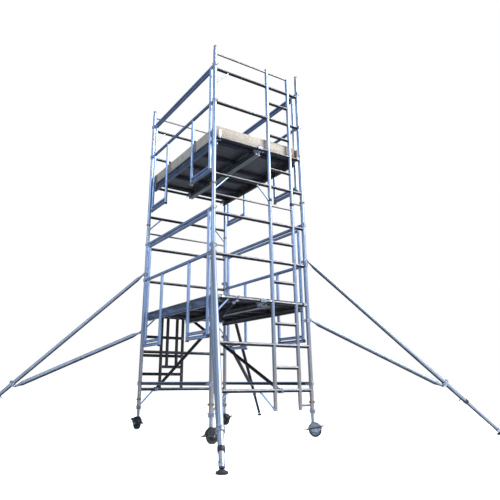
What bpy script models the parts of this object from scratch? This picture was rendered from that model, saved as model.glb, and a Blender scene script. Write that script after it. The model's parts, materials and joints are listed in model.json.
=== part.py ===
"""Mobile aluminium access tower: two stacked end-frame lifts, two decked levels.

Metres, +Z up.  The origin is on the ground, midway between the four castors.
X runs across the frames, Y along the decks, and the ladder frames stand at -Y.
Every sub-part is one named object in the collection "access_tower".
"""
import math

import bmesh
import bpy
from mathutils import Matrix, Vector

# ---------------------------------------------------------------- driving sizes
GAP = 0.0003                 # clearance between faces that touch

FRAME_WIDTH = 1.37           # across one frame, post centre to post centre
BAY_LENGTH = 2.00            # ladder frame to span frame, centre to centre
RUNG_PITCH = 0.50
BASE_RUNG_HEIGHT = 0.507     # lowest rung above the ground
LOWER_RUNGS = 5
UPPER_RUNGS = 4
FOOT_DROP = 0.215            # a lift's post below its first rung

POST_RADIUS = 0.0254
POST_WALL = 0.0022
RUNG_RADIUS = 0.021
STILE_RADIUS = 0.0235
LADDER_RUNG_RADIUS = 0.0205
TUBE_WALL = 0.0020
THIN_RAIL_RADIUS = 0.0125
THIN_RAIL_RISE = 0.235       # thin rail above a lift's last rung
GUSSET_RADIUS = 0.011
GUSSET_LEG = 0.215           # along the post and along the rung
SPIGOT_RISE = 0.070
SPIGOT_DEPTH = 0.045
SPIGOT_CLEARANCE = 0.0006

STILE_SPACING = 0.358
STILE_TO_POST = 0.178        # right stile to the right post
STUB_RUNG_DROP = 0.165       # short rung below a lift's first rung

PANEL_TUBE_RADIUS = 0.0225   # infill uprights under the lower deck, span end
PANEL_RAIL_RADIUS = 0.0205
PANEL_LEFT = 0.295           # from the left post
PANEL_WIDTH = 0.340
PANEL_INNER_INSET = 0.095
PANEL_RAILS = (0.20, 0.45, 0.707)
PANEL_FOOT_BAR = 0.30

GUARD_RADIUS = 0.0222        # rails
GUARD_UPRIGHT_RADIUS = 0.0205
GUARD_END_INSET = 0.105      # end upright from the post
GUARD_INNER_INSET = 0.595    # inner upright from the post
GUARD_TOP_RISE = 0.060       # top rail above its rung
GUARD_MID_RISE = 0.015
GUARD_FOOT_RISE = 0.075
GUARD_TAIL = 0.030           # inner upright below its foot bar
GUARD_PAIR_RADIUS = 0.0195
GUARD_PAIR_GAP = 0.052       # second rail under the top rail and over the foot bars, axis to axis

HOOK_WALL = 0.0075
HOOK_HEIGHT = 0.040
HOOK_SPAN = 115.0            # degrees each side of the hook's middle
HOOK_STEPS = 6

BRACE_RADIUS = 0.0205
BRACE_RISE = 0.075           # level brace above the base rung
BRACE_A_LOW = -0.445         # X of the diagonal brace hooks
BRACE_A_HIGH = -0.365
BRACE_B_LOW = 0.222
BRACE_B_HIGH = 0.075

DECK_POST_GAP = 0.0196       # deck side beam to the post
DECK_MIDDLE_GAP = 0.010
DECK_BEAM_HEIGHT = 0.105
DECK_BEAM_WIDTH = 0.030
DECK_BEAM_WEB = 0.0035
DECK_END_GAP = 0.012         # beam end to the rung
DECK_CROSS_HEIGHT = 0.036
DECK_CROSS_WIDTH = 0.040
DECK_CROSS_WALL = 0.0030
DECK_CROSS_COUNT = 5
DECK_CROSS_INSET = 0.105     # first cross member from the beam end
CLAW_THICKNESS = 0.008
CLAW_TIP_DROP = 0.012
CLAW_ROOT = 0.064            # claw along the beam, back from the rung's face
CLAW_SIDE = 0.003            # claw wider than its beam, each side
CLAW_CLEARANCE = 0.0050
BOARD_THICKNESS = 0.012
BOARD_END_INSET = 0.045      # board edge to the rung centre
DECK_LEVELS = (2, 6)         # rungs that carry the decks

HATCH_WIDTH = 0.500
HATCH_LENGTH = 0.600
HATCH_START = 0.185          # hatch edge to the ladder-end rung
HATCH_EDGE = 0.055           # hatch hinge edge to the deck's outer side
HATCH_GAP = 0.003
HINGE_RELIEF = 0.0015        # board relief behind the hinge edge, past the hatch thickness

TOE_HEIGHT = 0.150
TOE_THICKNESS = 0.025
TOE_EDGE = 0.002             # toe board to the deck's outer side

LEG_RADIUS = 0.0205
LEG_WALL = 0.0030
LEG_ENGAGED = 0.335          # leg inside the post
NUT_FLANGE_RADIUS = 0.050
NUT_FLANGE_THICKNESS = 0.008
NUT_HUB_RADIUS = 0.031
NUT_HEIGHT = 0.042
NUT_CHAMFER = 0.004          # flange down to the hub
NUT_TAPER = 0.005            # hub narrows to its lower end
NUT_STEPS = 12

WHEEL_RADIUS = 0.075
WHEEL_WIDTH = 0.044
WHEEL_HUB_WIDTH = 0.056
WHEEL_HUB_RADIUS = 0.024
WHEEL_STEPS = 16
TREAD_SHOULDER = 0.006
WHEEL_DISH = 0.006           # side faces in from the tread's edge
AXLE_RADIUS = 0.008
AXLE_CLEARANCE = 0.0004
CASTOR_TRAIL = 0.020
HOOD_CLEARANCE = 0.005       # hood over the tread
HOOD_WALL = 0.005
HOOD_INNER_WIDTH = 0.060
HOOD_STEPS = 6
HOOD_START = 15.0            # degrees above level, where the crown starts
CHEEK_START = 10.0
CHEEK_DROP = 0.020           # cheek below the axle
CHEEK_FOOT = 0.030           # half the cheek's width there
STEM_RADIUS = 0.0150
STEM_HEIGHT = 0.070
STEM_ROOT = 0.002            # stem collar into the crown
STEM_COLLAR = 0.008          # collar wider than the leg
BRAKE_PIVOT_RISE = 0.023     # above the axle
BRAKE_REACH = 0.140
BRAKE_LOOP = 0.094           # half the opening of the rocker loop
BRAKE_ARM = 0.006
BRAKE_SIDE_GAP = 0.003
BRAKE_DEPTH = 0.014
BRAKE_PIN_RADIUS = 0.005
BRAKE_PIN_END = 0.002        # pin past the rocker
BRAKE_TREAD = 0.72           # share of the rocker's width
BRAKE_CORNER = 0.004         # side bar past the loop's end
BRAKE_STEP = 0.001           # end bar inside the side bars
BRAKE_TILT = 12.0            # degrees, low end forward

STABILISER_UPPER_RUNG = 3    # each clamp stands above one of these rungs
STABILISER_LOWER_RUNG = 1
STABILISER_REACH = 2.30      # foot to post, in plan
STABILISER_RADIUS = 0.0265
STABILISER_WALL = 0.0022
STABILISER_LENGTH = 2.55     # outer tube
STABILISER_LEG_RADIUS = 0.0225
STABILISER_LEG_WALL = 0.0022
STABILISER_OVERLAP = 0.750   # leg inside the outer tube
STABILISER_ARM_RADIUS = 0.0290
STABILISER_ARM_LENGTH = 1.80
STABILISER_NECK = 0.013
STABILISER_TAPER = 0.120
FERRULE_STEP = 0.001         # a tapered end enters its tube this much smaller
FERRULE_DEPTH = 0.010
BORE_START = 0.030           # bore of the outer tube past its taper
LEG_SOLID_END = 0.080        # solid end of the telescopic leg at its foot
FOOT_SIDES = 16
FOOT_SINK = 0.002            # leg axis below the top of its foot
CLAMP_HEIGHT = 0.050
CLAMP_WALL = 0.0095
CLAMP_STANDOFF = 0.0025      # neck of a stabiliser tube past its clamp ring
COLLAR_LENGTH = 0.045
COLLAR_LUG = 0.022           # the arm meets its lug this far outside the tube
FOOT_RADIUS = 0.045
FOOT_THICKNESS = 0.030
DRAIN_RADIUS = 0.004

# plan direction of each stabiliser and heading of each castor, degrees from +X;
# clamps: how far the upper and lower clamp stand above their rungs
CORNERS = {
    "front_left": {"side": -1, "end": -1, "stabiliser": 243.0, "castor": 190.0, "clamps": (0.100, 0.262)},
    "front_right": {"side": 1, "end": -1, "stabiliser": 334.0, "castor": 139.0, "clamps": (0.068, 0.318)},
    "back_left": {"side": -1, "end": 1, "stabiliser": 154.0, "castor": 278.0, "clamps": (0.100, 0.262)},
    "back_right": {"side": 1, "end": 1, "stabiliser": 42.0, "castor": 100.0, "clamps": (0.100, 0.262)},
}

# name: colour, roughness, metallic
FINISHES = {
    "aluminium_tube": ((0.62, 0.69, 0.80), 0.38, 0.9),
    "aluminium_cast": ((0.50, 0.55, 0.62), 0.50, 0.9),
    "deck_board": ((0.045, 0.035, 0.030), 0.80, 0.0),
    "toe_board": ((0.52, 0.44, 0.34), 0.75, 0.0),
    "castor_metal": ((0.10, 0.11, 0.13), 0.50, 0.6),
    "wheel": ((0.025, 0.025, 0.028), 0.70, 0.0),
}

# ---------------------------------------------------------------- derived places
HALF_WIDTH = FRAME_WIDTH / 2
HALF_BAY = BAY_LENGTH / 2
LIFTS = {"lower": (0, LOWER_RUNGS), "upper": (LOWER_RUNGS, UPPER_RUNGS)}
POST_SIDES = 8
TUBE_SIDES = 6
PIN_SIDES = 8
OPEN = 0.010                 # how far a bore or a cut runs past an open end
CLOSED = -0.020              # how far it stops short of a closed one
MERGE = 0.00001              # points closer than this are one
SHARP_ANGLE = 50.0           # degrees, edges above it are drawn sharp


def rung_height(index):
    return BASE_RUNG_HEIGHT + index * RUNG_PITCH


def corner_radius(flat_radius, sides):
    """Distance from the axis to the edges of a tube drawn with flat sides."""
    return flat_radius / math.cos(math.pi / sides)


def clear_scene():
    for old in list(bpy.data.objects):
        bpy.data.objects.remove(old, do_unlink=True)


clear_scene()
parts = bpy.data.collections.new("access_tower")
cutters = bpy.data.collections.new("cutters")
for collection in (parts, cutters):
    bpy.context.scene.collection.children.link(collection)

materials = {}
for finish, (colour, roughness, metallic) in FINISHES.items():
    material = bpy.data.materials.new(finish)
    material.use_nodes = True
    shader = material.node_tree.nodes["Principled BSDF"]
    shader.inputs["Base Color"].default_value = (*colour, 1.0)
    shader.inputs["Roughness"].default_value = roughness
    shader.inputs["Metallic"].default_value = metallic
    material.diffuse_color = (*colour, 1.0)
    materials[finish] = material


# ---------------------------------------------------------------- shapes
def mesh_from(bm):
    mesh = bpy.data.meshes.new("shape")
    bm.to_mesh(mesh)
    bm.free()
    return mesh


def rod(start, end, radius, sides=TUBE_SIDES, end_radius=None):
    """A solid bar with flat sides, its flats at the stated radius."""
    start, end = Vector(start), Vector(end)
    along = end - start
    far = radius if end_radius is None else end_radius
    turn = along.to_track_quat("Z", "Y").to_matrix().to_4x4()
    place = Matrix.Translation((start + end) / 2) @ turn @ Matrix.Rotation(math.pi / sides, 4, "Z")
    bm = bmesh.new()
    bmesh.ops.create_cone(bm, cap_ends=True, segments=sides, depth=along.length, matrix=place,
                          radius1=corner_radius(radius, sides), radius2=corner_radius(far, sides))
    return mesh_from(bm)


def box(low, high):
    low, high = Vector(low), Vector(high)
    size = high - low
    bm = bmesh.new()
    place = Matrix.Translation((low + high) / 2) @ Matrix.Diagonal((*size, 1.0))
    bmesh.ops.create_cube(bm, size=1.0, matrix=place)
    return mesh_from(bm)


def plate(outline, thickness, place=Matrix.Identity(4)):
    """A flat outline in local XY, as thick as stated along local Z."""
    curve = bpy.data.curves.new("outline", "CURVE")
    curve.dimensions = "2D"
    curve.fill_mode = "BOTH"
    curve.extrude = thickness / 2
    spline = curve.splines.new("POLY")
    spline.points.add(len(outline) - 1)
    for point, (x, y) in zip(spline.points, outline):
        point.co = (x, y, 0.0, 1.0)
    spline.use_cyclic_u = True
    holder = bpy.data.objects.new("outline", curve)
    cutters.objects.link(holder)
    depsgraph = bpy.context.evaluated_depsgraph_get()
    mesh = bpy.data.meshes.new_from_object(holder.evaluated_get(depsgraph))
    bpy.data.objects.remove(holder, do_unlink=True)
    bpy.data.curves.remove(curve)
    bm = bmesh.new()
    bm.from_mesh(mesh)
    bmesh.ops.remove_doubles(bm, verts=bm.verts, dist=MERGE)
    bmesh.ops.recalc_face_normals(bm, faces=bm.faces)
    bmesh.ops.transform(bm, matrix=place, verts=bm.verts)
    bpy.data.meshes.remove(mesh)
    return mesh_from(bm)


def arc(radius, start, end, steps):
    """Points on a circle about the local origin, angles in degrees."""
    angles = [math.radians(start + (end - start) * step / steps) for step in range(steps + 1)]
    return [(radius * math.cos(angle), radius * math.sin(angle)) for angle in angles]


def hook(centre, clear_radius, wall, height, middle, half_span, place=Matrix.Identity(4)):
    """An open ring round a tube: its flats stay outside clear_radius plus a small gap."""
    step_angle = math.radians(2 * half_span / HOOK_STEPS)
    inner = (clear_radius + GAP) / math.cos(step_angle / 2)
    outline = arc(inner + wall, middle - half_span, middle + half_span, HOOK_STEPS)
    outline += arc(inner, middle + half_span, middle - half_span, HOOK_STEPS)
    return plate(outline, height, Matrix.Translation(centre) @ place)


# local x, y, z to the world's Y, Z, X: for outlines drawn along the decks
SIDE_VIEW = Matrix(((0, 0, 1, 0), (1, 0, 0, 0), (0, 1, 0, 0), (0, 0, 0, 1)))
# local x, y, z to the world's X, Z, -Y: for outlines drawn across the frames
FRONT_VIEW = Matrix(((1, 0, 0, 0), (0, 0, -1, 0), (0, 1, 0, 0), (0, 0, 0, 1)))


def joined(meshes):
    bm = bmesh.new()
    for mesh in meshes:
        bm.from_mesh(mesh)
        bpy.data.meshes.remove(mesh)
    return mesh_from(bm)


def boolean(mesh, operand_meshes, operation):
    """The mesh united with, or cut by, every operand at once."""
    target = bpy.data.objects.new("target", mesh)
    operand = bpy.data.objects.new("operand", joined(operand_meshes))
    for holder in (target, operand):
        cutters.objects.link(holder)
    modifier = target.modifiers.new(operation.lower(), "BOOLEAN")
    modifier.operation = operation
    modifier.solver = "EXACT"
    modifier.use_self = True
    modifier.object = operand
    depsgraph = bpy.context.evaluated_depsgraph_get()
    result = bpy.data.meshes.new_from_object(target.evaluated_get(depsgraph))
    for holder in (target, operand):
        old = holder.data
        bpy.data.objects.remove(holder, do_unlink=True)
        bpy.data.meshes.remove(old)
    return result


def fuse(solids, bores=(), plugs=()):
    """One body: the solids joined, then the bores cut out, then the plugs added."""
    mesh = solids[0]
    if len(solids) > 1:
        mesh = boolean(mesh, solids[1:], "UNION")
    if bores:
        mesh = boolean(mesh, bores, "DIFFERENCE")
    if plugs:
        mesh = boolean(mesh, plugs, "UNION")
    return mesh


def add_part(name, mesh, finish, origin=(0, 0, 0)):
    """Name a world-space mesh as a part, with its own origin."""
    mesh.name = name
    mesh.transform(Matrix.Translation(-Vector(origin)))
    mesh.materials.clear()
    mesh.materials.append(materials[finish])
    mesh.shade_smooth()
    mesh.set_sharp_from_angle(angle=math.radians(SHARP_ANGLE))
    part = bpy.data.objects.new(name, mesh)
    parts.objects.link(part)
    part.location = origin
    return part


class Tubework:
    """Collects round tubes and the bores inside them, for one welded piece."""

    def __init__(self):
        self.solids = []
        self.bores = []

    def tube(self, start, end, radius, sides=TUBE_SIDES, wall=TUBE_WALL, open_start=0.0, open_end=0.0):
        """A hollow run; its bore goes past an end by the stated length, or stops short of it."""
        start, end = Vector(start), Vector(end)
        along = (end - start).normalized()
        self.solids.append(rod(start, end, radius, sides))
        self.bores.append(rod(start - along * open_start, end + along * open_end, radius - wall, sides))

    def bar(self, start, end, radius, sides=TUBE_SIDES, end_radius=None):
        self.solids.append(rod(start, end, radius, sides, end_radius))

    def drain(self, point, radius):
        """A small hole down through the underside of a closed tube."""
        point = Vector(point)
        self.bores.append(rod(point, point - Vector((0, 0, radius + OPEN)), DRAIN_RADIUS))


# ---------------------------------------------------------------- end frames
def end_frame(name, lift, end, gusset_rungs, ladder=False, panel=False):
    first, count = LIFTS[lift]
    y = end * HALF_BAY
    bottom = rung_height(first) - FOOT_DROP + (GAP if first else 0.0)
    top = rung_height(first + count) - FOOT_DROP
    right_stile = HALF_WIDTH - STILE_TO_POST
    left_stile = right_stile - STILE_SPACING
    work = Tubework()

    for x in (-HALF_WIDTH, HALF_WIDTH):
        work.tube((x, y, bottom), (x, y, top), POST_RADIUS, POST_SIDES, POST_WALL, OPEN, OPEN)
    for index in range(first, first + count):
        z = rung_height(index)
        work.tube((-HALF_WIDTH, y, z), (HALF_WIDTH, y, z), RUNG_RADIUS)

    rail_end = right_stile if ladder else HALF_WIDTH
    rail_height = rung_height(first + count - 1) + THIN_RAIL_RISE
    work.bar((-HALF_WIDTH, y, rail_height), (rail_end, y, rail_height), THIN_RAIL_RADIUS)

    gusset_roots = [(-HALF_WIDTH, 1, gusset_rungs)]
    if ladder:
        gusset_roots.append((left_stile, -1, gusset_rungs[:1]))
    else:
        gusset_roots.append((HALF_WIDTH, -1, gusset_rungs))
    for x, inward, rungs in gusset_roots:
        for index in rungs:
            z = rung_height(first + index)
            work.bar((x, y, z - GUSSET_LEG), (x + inward * GUSSET_LEG, y, z), GUSSET_RADIUS)

    if ladder:
        last_lift = first > 0
        right_top = rail_height + THIN_RAIL_RADIUS if last_lift else top
        for x, stile_top in ((left_stile, top), (right_stile, right_top)):
            work.tube((x, y, bottom), (x, y, stile_top), STILE_RADIUS, open_start=OPEN, open_end=OPEN)
        for index in range(first, first + count):
            z = rung_height(index) + RUNG_PITCH / 2
            if z < rail_height - RUNG_PITCH / 4:
                work.bar((left_stile, y, z), (right_stile, y, z), LADDER_RUNG_RADIUS)
        stub = rung_height(first) - STUB_RUNG_DROP
        work.bar((right_stile, y, stub), (HALF_WIDTH, y, stub), THIN_RAIL_RADIUS)

    if panel:
        left = -HALF_WIDTH + PANEL_LEFT
        right = left + PANEL_WIDTH
        low, high = rung_height(0), rung_height(DECK_LEVELS[0])
        for x in (left, right):
            work.bar((x, y, low), (x, y, high), PANEL_TUBE_RADIUS)
        for rise in PANEL_RAILS:
            z = low + rise
            work.bar((-HALF_WIDTH, y, z), (right, y, z), PANEL_RAIL_RADIUS)
        foot = low + PANEL_FOOT_BAR
        inner_left, inner_right = left + PANEL_INNER_INSET, right - PANEL_INNER_INSET
        for x in (inner_left, inner_right):
            work.bar((x, y, foot), (x, y, high), PANEL_TUBE_RADIUS)
        work.bar((left, y, foot), (right, y, foot), PANEL_RAIL_RADIUS)

    spigot_radius = POST_RADIUS - POST_WALL - SPIGOT_CLEARANCE
    spigots = [rod((x, y, top - SPIGOT_DEPTH), (x, y, top + SPIGOT_RISE), spigot_radius, POST_SIDES)
               for x in (-HALF_WIDTH, HALF_WIDTH)]
    spigots += [rod((x, y, top - SPIGOT_DEPTH), (x, y, top - SPIGOT_DEPTH / 2), POST_RADIUS - POST_WALL / 2,
                    POST_SIDES) for x in (-HALF_WIDTH, HALF_WIDTH)]
    add_part(name, fuse(work.solids, work.bores, spigots), "aluminium_tube")


end_frame("ladder_frame_lower", "lower", -1, (0, 2), ladder=True)
end_frame("ladder_frame_upper", "upper", -1, (0, 3), ladder=True)
end_frame("span_frame_lower", "lower", 1, (0, 2), panel=True)
end_frame("span_frame_upper", "upper", 1, (0, 3))


# ---------------------------------------------------------------- guard frames
def guard_frame(name, side, deck_rung):
    """A frame of rails and uprights hooked to the posts beside a deck."""
    x = side * HALF_WIDTH
    top = rung_height(deck_rung + 2) + GUARD_TOP_RISE
    middle = rung_height(deck_rung + 1) + GUARD_MID_RISE
    foot = rung_height(deck_rung - 1) + GUARD_FOOT_RISE
    hook_reach = corner_radius(POST_RADIUS, POST_SIDES) + HOOK_WALL / 2
    outward = 180.0 if side < 0 else 0.0
    work = Tubework()
    for z in (top, middle):
        reach = HALF_BAY - hook_reach
        work.tube((x, -reach, z), (x, reach, z), GUARD_RADIUS, open_start=CLOSED, open_end=CLOSED)
        for end in (-1, 1):
            work.solids.append(hook((x, end * HALF_BAY, z), corner_radius(POST_RADIUS, POST_SIDES),
                                    HOOK_WALL, HOOK_HEIGHT, outward, HOOK_SPAN))
    for end in (-1, 1):
        outer = end * (HALF_BAY - GUARD_END_INSET)
        inner = end * (HALF_BAY - GUARD_INNER_INSET)
        work.tube((x, outer, foot), (x, outer, top), GUARD_UPRIGHT_RADIUS)
        work.tube((x, inner, foot - GUARD_TAIL), (x, inner, middle), GUARD_UPRIGHT_RADIUS, open_start=OPEN)
        work.tube((x, outer, foot), (x, inner, foot), GUARD_RADIUS)
        paired = foot + GUARD_PAIR_GAP
        work.tube((x, outer, paired), (x, inner, paired), GUARD_PAIR_RADIUS)
    paired = top - GUARD_PAIR_GAP
    half = HALF_BAY - GUARD_END_INSET
    work.tube((x, -half, paired), (x, half, paired), GUARD_PAIR_RADIUS)
    add_part(name, fuse(work.solids, work.bores), "aluminium_tube")


for level, deck_rung in zip(LIFTS, DECK_LEVELS):
    guard_frame(f"guard_frame_left_{level}", -1, deck_rung)
    guard_frame(f"guard_frame_right_{level}", 1, deck_rung)


# ---------------------------------------------------------------- braces
def level_brace(name, side):
    x, z = side * HALF_WIDTH, rung_height(0) + BRACE_RISE
    reach = HALF_BAY - corner_radius(POST_RADIUS, POST_SIDES) - HOOK_WALL / 2
    outward = 180.0 if side < 0 else 0.0
    work = Tubework()
    work.tube((x, -reach, z), (x, reach, z), BRACE_RADIUS, open_start=CLOSED, open_end=CLOSED)
    work.drain((x, 0, z), BRACE_RADIUS)
    for end in (-1, 1):
        work.solids.append(hook((x, end * HALF_BAY, z), corner_radius(POST_RADIUS, POST_SIDES),
                                HOOK_WALL, HOOK_HEIGHT, outward, HOOK_SPAN))
    add_part(name, fuse(work.solids, work.bores), "aluminium_tube")


def diagonal_brace(name, end, low_x, high_x):
    """From the base rung at one end up to the deck rung at the other."""
    low = Vector((low_x, end * HALF_BAY, rung_height(0)))
    high = Vector((high_x, -end * HALF_BAY, rung_height(DECK_LEVELS[0])))
    along = (high - low).normalized()
    reach = corner_radius(RUNG_RADIUS, TUBE_SIDES) + HOOK_WALL / 2
    work = Tubework()
    work.tube(low + along * reach, high - along * reach, BRACE_RADIUS, open_start=CLOSED, open_end=CLOSED)
    work.drain((low + high) / 2, BRACE_RADIUS)
    slope = math.degrees(math.atan2(along.z, along.y))
    for centre, middle in ((low, slope), (high, slope + 180)):
        work.solids.append(hook(centre, corner_radius(RUNG_RADIUS, TUBE_SIDES), HOOK_WALL, HOOK_HEIGHT,
                                middle, HOOK_SPAN, SIDE_VIEW))
    add_part(name, fuse(work.solids, work.bores), "aluminium_tube")


level_brace("level_brace_left", -1)
level_brace("level_brace_right", 1)
diagonal_brace("diagonal_brace_left", 1, BRACE_A_LOW, BRACE_A_HIGH)
diagonal_brace("diagonal_brace_right", -1, BRACE_B_LOW, BRACE_B_HIGH)


# ---------------------------------------------------------------- decks
DECK_OUTER = HALF_WIDTH - POST_RADIUS - DECK_POST_GAP
DECK_INNER = DECK_MIDDLE_GAP / 2
HATCH_HINGE = DECK_OUTER - HATCH_EDGE
HATCH_FREE = HATCH_HINGE - HATCH_WIDTH
HATCH_NEAR = -HALF_BAY + HATCH_START
HATCH_FAR = HATCH_NEAR + HATCH_LENGTH
BEAM_END = HALF_BAY - RUNG_RADIUS - DECK_END_GAP


def deck_top(rung):
    """Top of the deck beams: level with the back of the claws."""
    return rung_height(rung) + RUNG_RADIUS + GAP + CLAW_THICKNESS


def i_beam(width, height, web):
    """Outline of an I-shaped extrusion, centred across, its top at zero."""
    half, flange = width / 2, web
    return [(-half, 0), (-half, -flange), (-web / 2, -flange), (-web / 2, flange - height),
            (-half, flange - height), (-half, -height), (half, -height), (half, flange - height),
            (web / 2, flange - height), (web / 2, -flange), (half, -flange), (half, 0)]


def channel(width, height, wall):
    """Outline of a channel that opens downward, its top at zero."""
    half = width / 2
    return [(-half, 0), (-half, -height), (wall - half, -height), (wall - half, -wall),
            (half - wall, -wall), (half - wall, -height), (half, -height), (half, 0)]


def claw_outline():
    """Side view of a claw over a rung at the origin, the deck to the left."""
    face = RUNG_RADIUS + CLAW_CLEARANCE
    under = RUNG_RADIUS + GAP
    back = under + CLAW_THICKNESS
    root = -face - CLAW_ROOT
    return [(root, back), (root, -RUNG_RADIUS), (-face, -RUNG_RADIUS), (-face, under), (face, under),
            (face, -CLAW_TIP_DROP), (face + CLAW_THICKNESS, -CLAW_TIP_DROP), (face + CLAW_THICKNESS, back)]


def cross_places(hatch):
    """Middles of the deck's cross members along Y."""
    last = BEAM_END - DECK_CROSS_INSET
    if not hatch:
        return [-last + 2 * last * step / (DECK_CROSS_COUNT - 1) for step in range(DECK_CROSS_COUNT)]
    rest = DECK_CROSS_COUNT - 2
    return [HATCH_NEAR] + [HATCH_FAR + (last - HATCH_FAR) * step / rest for step in range(rest + 1)]


def deck_frame(name, side, rung, hatch):
    top = deck_top(rung)
    beams = [side * (DECK_INNER + DECK_BEAM_WIDTH / 2), side * (DECK_OUTER - DECK_BEAM_WIDTH / 2)]
    solids = []
    for x in beams:
        solids.append(plate(i_beam(DECK_BEAM_WIDTH, DECK_BEAM_HEIGHT, DECK_BEAM_WEB), 2 * BEAM_END,
                            Matrix.Translation((x, 0, top)) @ FRONT_VIEW))
        for end in (-1, 1):
            outline = [(end * u, w) for u, w in claw_outline()]
            place = Matrix.Translation((x, end * HALF_BAY, rung_height(rung))) @ SIDE_VIEW
            solids.append(plate(outline, DECK_BEAM_WIDTH + 2 * CLAW_SIDE, place))
    length = abs(beams[1] - beams[0])
    cross_top = top - DECK_BEAM_WEB / 2
    for y in cross_places(hatch):
        place = Matrix.Translation((sum(beams) / 2, y, cross_top)) @ SIDE_VIEW
        solids.append(plate(channel(DECK_CROSS_WIDTH, DECK_CROSS_HEIGHT, DECK_CROSS_WALL), length, place))
    add_part(name, fuse(solids), "aluminium_tube")


def deck_board(name, side, rung, hatch):
    low = deck_top(rung) + GAP
    reach = HALF_BAY - BOARD_END_INSET
    near, far = sorted((side * DECK_INNER, side * DECK_OUTER))
    board = box((near, -reach, low), (far, reach, low + BOARD_THICKNESS))
    if not hatch:
        add_part(name, board, "deck_board")
        return
    relief = BOARD_THICKNESS + HINGE_RELIEF
    opening = box((HATCH_FREE - HATCH_GAP, HATCH_NEAR - HATCH_GAP, low - OPEN),
                  (HATCH_HINGE + relief, HATCH_FAR + HATCH_GAP, low + BOARD_THICKNESS + OPEN))
    add_part(name, fuse([board], [opening]), "deck_board")


def hatch_lid(name, rung):
    low = deck_top(rung) + GAP
    lid = box((HATCH_FREE, HATCH_NEAR, low), (HATCH_HINGE, HATCH_FAR, low + BOARD_THICKNESS))
    hinge = (HATCH_HINGE, (HATCH_NEAR + HATCH_FAR) / 2, low + BOARD_THICKNESS)
    add_part(name, lid, "deck_board", origin=hinge)


for level, rung in zip(LIFTS, DECK_LEVELS):
    for side_name, side in (("left", -1), ("right", 1)):
        has_hatch = side > 0
        deck_frame(f"deck_frame_{side_name}_{level}", side, rung, has_hatch)
        deck_board(f"deck_board_{side_name}_{level}", side, rung, has_hatch)
    hatch_lid(f"deck_hatch_{level}", rung)


# ---------------------------------------------------------------- toe boards
def toe_boards():
    low = deck_top(DECK_LEVELS[1]) + BOARD_THICKNESS + 2 * GAP
    high = low + TOE_HEIGHT
    outer = DECK_OUTER - TOE_EDGE
    ends = HALF_BAY - BOARD_END_INSET
    long_end = ends - TOE_THICKNESS - GAP
    for side_name, side in (("left", -1), ("right", 1)):
        near, far = sorted((side * (outer - TOE_THICKNESS), side * outer))
        board = box((near, -long_end, low), (far, long_end, high))
        add_part(f"toe_board_{side_name}", board, "toe_board")
    for end_name, end in (("front", -1), ("back", 1)):
        near, far = sorted((end * (ends - TOE_THICKNESS), end * ends))
        board = box((-outer, near, low), (outer, far, high))
        add_part(f"toe_board_{end_name}", board, "toe_board")


toe_boards()


# ---------------------------------------------------------------- legs and castors
AXLE_HEIGHT = WHEEL_RADIUS
HOOD_INNER = WHEEL_RADIUS + HOOD_CLEARANCE
HOOD_OUTER = HOOD_INNER + HOOD_WALL
HOOD_HALF = HOOD_INNER_WIDTH / 2 + HOOD_WALL
CASTOR_TOP = AXLE_HEIGHT + HOOD_OUTER
POST_BOTTOM = rung_height(0) - FOOT_DROP
BRAKE_HEIGHT = AXLE_HEIGHT + BRAKE_PIVOT_RISE


def turned(name, profile, steps):
    """A closed profile of radius and height, turned about Z."""
    mesh = bpy.data.meshes.new(name)
    count = len(profile)
    mesh.from_pydata([(radius, 0, height) for radius, height in profile],
                     [(index, (index + 1) % count) for index in range(count)], [])
    holder = bpy.data.objects.new(name, mesh)
    cutters.objects.link(holder)
    screw = holder.modifiers.new("turn", "SCREW")
    screw.steps = steps
    screw.render_steps = steps
    screw.use_merge_vertices = True
    screw.merge_threshold = MERGE
    depsgraph = bpy.context.evaluated_depsgraph_get()
    result = bpy.data.meshes.new_from_object(holder.evaluated_get(depsgraph))
    bpy.data.objects.remove(holder, do_unlink=True)
    bpy.data.meshes.remove(mesh)
    bm = bmesh.new()
    bm.from_mesh(result)
    bpy.data.meshes.remove(result)
    bmesh.ops.recalc_face_normals(bm, faces=bm.faces)
    return mesh_from(bm)


def ring_profile(bore, steps_of_outline):
    """A turned outline, top to bottom outside, closed along its bore."""
    top, bottom = steps_of_outline[0][1], steps_of_outline[-1][1]
    return [(bore, top)] + list(steps_of_outline) + [(bore, bottom)]


def leg_tube():
    base = CASTOR_TOP + GAP
    work = Tubework()
    work.tube((0, 0, base), (0, 0, POST_BOTTOM + LEG_ENGAGED), LEG_RADIUS, POST_SIDES, LEG_WALL, OPEN, OPEN)
    return fuse(work.solids, work.bores)


def leg_nut():
    top = POST_BOTTOM - GAP
    bore = corner_radius(corner_radius(LEG_RADIUS, POST_SIDES) + 2 * GAP, NUT_STEPS)
    flange = top - NUT_FLANGE_THICKNESS
    outline = [(NUT_FLANGE_RADIUS, top), (NUT_FLANGE_RADIUS, flange), (NUT_HUB_RADIUS, flange - NUT_CHAMFER),
               (NUT_HUB_RADIUS - NUT_TAPER, top - NUT_HEIGHT)]
    return turned("leg_nut", ring_profile(bore, outline), NUT_STEPS)


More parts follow.
